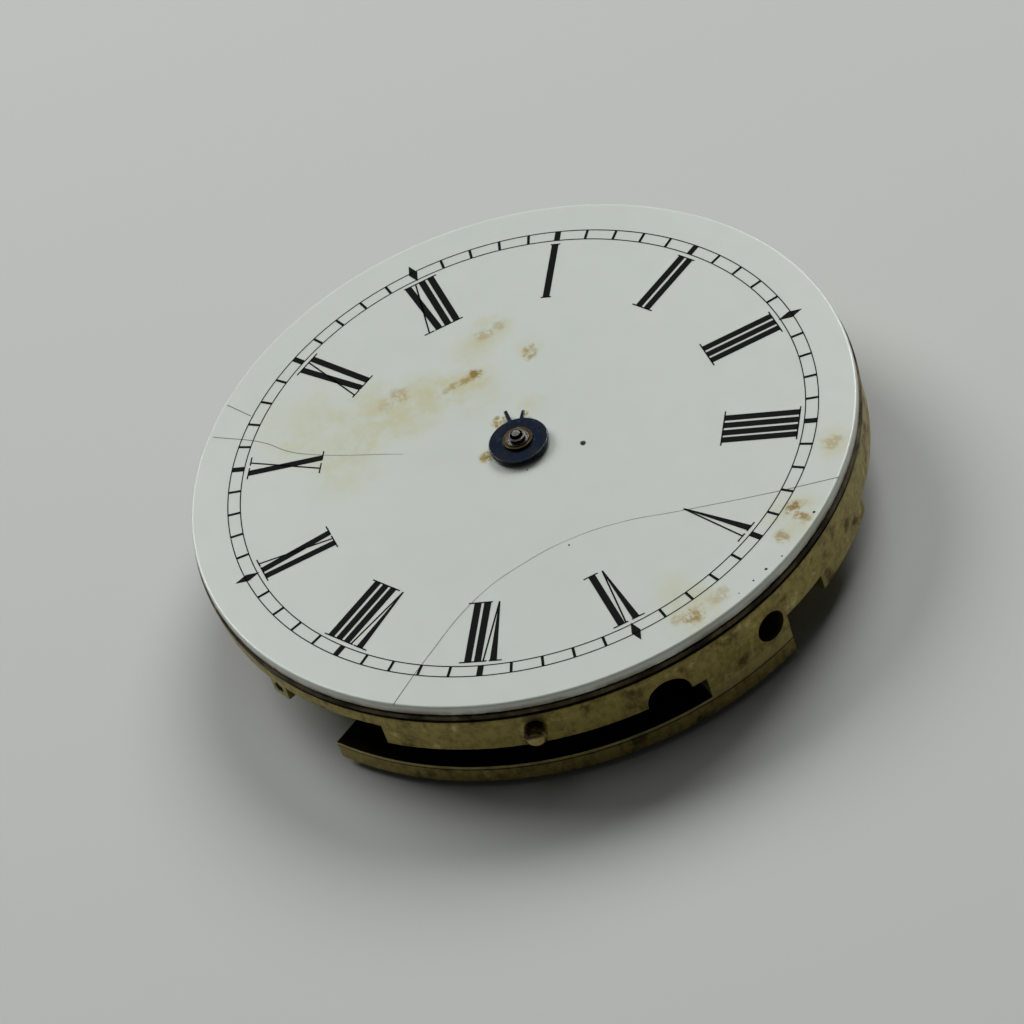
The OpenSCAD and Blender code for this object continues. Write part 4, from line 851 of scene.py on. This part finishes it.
# %% [markdown]
# ## Printing on the dial
#
# The black print is a film of fired ink. It is modelled as thin raised strokes, because a printed line has a
# crisp edge from any distance. A painted mask would blur there. Ink sinks a little into the enamel, so no
# gap shows.

# %% Ink
INK_TONE = (0.004, 0.005, 0.005, 1.0)
INK_GREY = (0.014, 0.016, 0.014, 1.0)
INK_SPECULAR = 0.03
ink, tree, shader = new_material("dial_ink")
vector = object_vector(tree)
worn = clouds(tree, vector, 1500.0, 11.0, 0.55, 0.85)
feed(tree, blend_colour(tree, worn, INK_TONE, INK_GREY), shader.inputs["Base Color"])
feed(tree, calc(tree, "ADD", part_of(tree, worn, 0.2), 0.45), shader.inputs["Roughness"])
add_bump(tree, shader, worn, 0.1, 0.01)
shader.inputs["Specular IOR Level"].default_value = INK_SPECULAR
print("ink ready")

# %% Strokes
INK_HEIGHT = 0.012
INK_SINK = 0.01
ink_low = dial_high - INK_SINK
ink_high = dial_high + INK_HEIGHT


def stroke(foot, head, low, high, foot_width, head_width):
    """A straight stroke from foot to head (across), between two radii, in millimetres."""
    middle = (low + high) / 2
    bpy.ops.mesh.primitive_plane_add(size=1, location=(0, 0, ink_low * MM))
    piece = bpy.context.object
    piece.scale = (foot_width * MM, (high - low) * MM, 1)
    piece.location.x = foot * MM
    piece.location.y = middle * MM
    apply_place()
    bpy.ops.object.mode_set(mode="EDIT")
    select_points(piece, lambda co: co.y > middle * MM)
    bpy.ops.transform.resize(value=(head_width / foot_width, 1, 1), center_override=(foot * MM, 0, 0))
    bpy.ops.transform.translate(value=((head - foot) * MM, 0, 0))
    raise_shape(ink_high - ink_low)
    return piece


def turned_copy(piece, degrees):
    """A copy with its own mesh, turned about the dial's centre."""
    deselect()
    piece.select_set(True)
    bpy.context.view_layer.objects.active = piece
    bpy.ops.object.duplicate()
    copy = bpy.context.object
    copy.rotation_euler.z = math.radians(degrees)
    apply_place()
    return copy


print("ink from", round(ink_low, 3), "to", round(ink_high, 3), "mm")

# %% [markdown]
# ## Minute track
#
# Two fine rings carry a thin tick at each minute, a block at each five minutes and a diamond at each
# quarter. Each mark is modelled once at twelve o'clock and copied round the dial.

# %% Minute track
TRACK_OUT = 18.13
TRACK_IN = 17.35
RING_WIDTH = 0.065
RING_POINTS = 240
TICK_WIDTH = 0.17
BLOCK_WIDTH = 0.37
# A diamond's lower tip, waist and upper tip as radii, and its width at the waist
DIAMOND = (17.24, 18.02, 18.78, 0.56)
DIAMOND_TIP = 0.02


def ring(radius):
    """A fine flat ring of ink."""
    half = RING_WIDTH / 2
    return flat_ring(radius - half, radius + half, ink_low, ink_high, RING_POINTS)


def diamond():
    """A quarter mark: two strokes that meet at the waist and are drawn to points."""
    low, waist, high, width = DIAMOND
    lower = stroke(0, 0, low, waist, DIAMOND_TIP, width)
    upper = stroke(0, 0, waist, high, width, DIAMOND_TIP)
    return join([lower, upper], "diamond")


tick = stroke(0, 0, TRACK_IN, TRACK_OUT, TICK_WIDTH, TICK_WIDTH)
block = stroke(0, 0, TRACK_IN, TRACK_OUT, BLOCK_WIDTH, BLOCK_WIDTH)
quarter = diamond()
marks = [ring(TRACK_OUT), ring(TRACK_IN)]
for minute in range(1, 60):
    mark = quarter if minute % 15 == 0 else block if minute % 5 == 0 else tick
    marks.append(turned_copy(mark, -6 * minute))
marks.append(quarter)
for pattern in (tick, block):
    bpy.data.objects.remove(pattern)
track = settle(join(marks, "minute_track"), ink, "frame")
print("minute track faces:", len(track.data.polygons))

# %% [markdown]
# ## Hour numerals
#
# The numerals stand radially, with their heads outward. Broad strokes, hairlines and fine serifs make each
# one. A table lists them as distances across in hundredths of a millimetre, so that the drawing can be read
# and changed.

# %% Hour numerals
NUMERAL_LOW = 12.45
NUMERAL_HIGH = 17.02
BROAD = 0.43
HAIR = 0.10
SERIF = 0.085
POINT = 0.07
POINTED_HOURS = (5, 6, 7, 8)
HUNDREDTHS = 100
# Each numeral: broad strokes (foot, head), hairlines (foot, head),
# head serifs (from, to) and foot serifs (from, to)
NUMERALS = {
    1: ([(-5, -5)], [], [(-35, 27)], [(-38, 27)]),
    2: ([(-28, -28), (32, 32)], [], [(-60, 65)], [(-75, 75)]),
    3: ([(-60, -60), (0, 0), (59, 59)], [], [(-102, 104)], [(-110, 108)]),
    4: ([(-80, -80), (-20, -20), (40, 40), (98, 98)], [], [(-124, 142)], [(-136, 142)]),
    5: ([(4, -34)], [(5, 36)], [(-83, -6), (14, 83)], []),
    6: ([(-20, -44), (50, 50)], [(-19, 22)], [(-98, -16), (6, 102)], [(10, 102)]),
    7: ([(-46, -69), (26, 26), (85, 85)], [(-45, -8)], [(-120, -42), (-30, 137)], [(-4, 141)]),
    8: ([(-72, -98), (2, 2), (61, 61), (122, 122)], [(-71, -33)], [(-152, -55), (-48, 170)], [(-44, 164)]),
    9: ([(-54, -54), (43, 4)], [(-15, 65)], [(-98, 32), (40, 104)], [(-98, 10), (22, 102)]),
    10: ([(39, -39)], [(-47, 47)], [(-87, 4), (26, 93)], [(-87, -4), (17, 93)]),
    11: ([(-20, -54), (48, 48)], [(-87, 15)], [(-102, 98)], [(-108, -43), (-32, 93)]),
    12: ([(-41, -75), (19, 19), (78, 78)], [(-108, -22)], [(-102, 119)], [(-141, -75), (-69, 119)]),
}


def upright_stroke(foot, head, foot_width, head_width):
    """A stroke over the full height of a numeral, from distances in hundredths of a millimetre."""
    foot_at = foot / HUNDREDTHS
    head_at = head / HUNDREDTHS
    return stroke(foot_at, head_at, NUMERAL_LOW, NUMERAL_HIGH, foot_width, head_width)


def serif(left, right, level):
    """A fine line across the head or the foot of a numeral."""
    width = (right - left) / HUNDREDTHS
    middle = (left + right) / 2 / HUNDREDTHS
    return stroke(middle, middle, level - SERIF / 2, level + SERIF / 2, width, width)


def numeral(hour):
    """All strokes of one numeral, drawn at twelve o'clock and turned to its hour."""
    broad, hairs, heads, feet = NUMERALS[hour]
    parts = []
    for foot, head in broad:
        pointed = hour in POINTED_HOURS and foot != head
        parts.append(upright_stroke(foot, head, POINT if pointed else BROAD, BROAD))
    for foot, head in hairs:
        parts.append(upright_stroke(foot, head, HAIR, HAIR))
    for lines, level in ((heads, NUMERAL_HIGH), (feet, NUMERAL_LOW)):
        for left, right in lines:
            parts.append(serif(left, right, level))
    upright = join(parts, "numeral")
    placed = turned_copy(upright, -30 * hour)
    bpy.data.objects.remove(upright)
    return placed


numerals = settle(join([numeral(hour) for hour in NUMERALS], "hour_numerals"), ink, "frame")
print("numerals:", len(NUMERALS), "faces:", len(numerals.data.polygons))

# %% [markdown]
# ## Hairline cracks
#
# Three cracks cross the enamel. A curve through the points read from the photograph, given the thickness of
# a hair and made a mesh, lies almost flush in the surface. More dirt has crept in near the rim, so the cracks
# are darker there.

# %% Crack dirt
CRACK_TONE = (0.30, 0.30, 0.27, 1.0)
CRACK_PALE = (0.52, 0.52, 0.48, 1.0)
CRACK_DARK = (0.09, 0.085, 0.06, 1.0)
CRACK_ROUGHNESS = 0.6
RIM_START = 18.5
crack_dirt, tree, shader = new_material("crack_dirt")
vector = object_vector(tree)
faint = clouds(tree, vector, 700.0, 13.0, 0.35, 0.70)
colour = blend_colour(tree, faint, CRACK_TONE, CRACK_PALE)
inside = spot(tree, vector, (0.0, 0.0), RIM_START, 0.2, 300.0)
feed(tree, blend_colour(tree, inside, CRACK_DARK, colour), shader.inputs["Base Color"])
shader.inputs["Roughness"].default_value = CRACK_ROUGHNESS
print("crack dirt ready")

# %% Hairline cracks
CRACK_WIDTH = 0.055
CRACK_FLATNESS = 0.3
CRACKS = [
    [(-14.19, -14.76), (-11.49, -12.78), (-6.56, -9.8), (-3.47, -9.06), (-0.42, -8.94), (2.65, -9.53),
     (5.88, -10.81), (11.17, -12.83), (14.84, -14.06)],
    [(-15.74, 12.5), (-13.16, 9.98), (-12.24, 8.48), (-11.38, 7.54), (-6.28, 3.78)],
    [(-14.03, 14.57), (-13.09, 12.72)],
]


def crack(points):
    """A flattened hairline through points on the dial, in millimetres."""
    bpy.ops.curve.primitive_bezier_curve_add()
    line = bpy.context.object
    spline = line.data.splines[0]
    spline.bezier_points.add(len(points) - 2)
    for knot, (x, y) in zip(spline.bezier_points, points):
        knot.co = (x * MM, y * MM, dial_high * MM)
        knot.handle_left_type = "AUTO"
        knot.handle_right_type = "AUTO"
    line.data.bevel_depth = CRACK_WIDTH / 2 * MM
    line.data.bevel_resolution = 1
    line.data.use_fill_caps = True
    bpy.ops.object.convert(target="MESH")
    bpy.ops.object.mode_set(mode="EDIT")
    bpy.ops.mesh.select_all(action="SELECT")
    bpy.ops.transform.resize(value=(1, 1, CRACK_FLATNESS), center_override=(0, 0, dial_high * MM))
    bpy.ops.object.mode_set(mode="OBJECT")
    return bpy.context.object


cracks = settle(join([crack(points) for points in CRACKS], "enamel_cracks"), crack_dirt, "frame")
print("cracks:", len(CRACKS), "faces:", len(cracks.data.polygons))
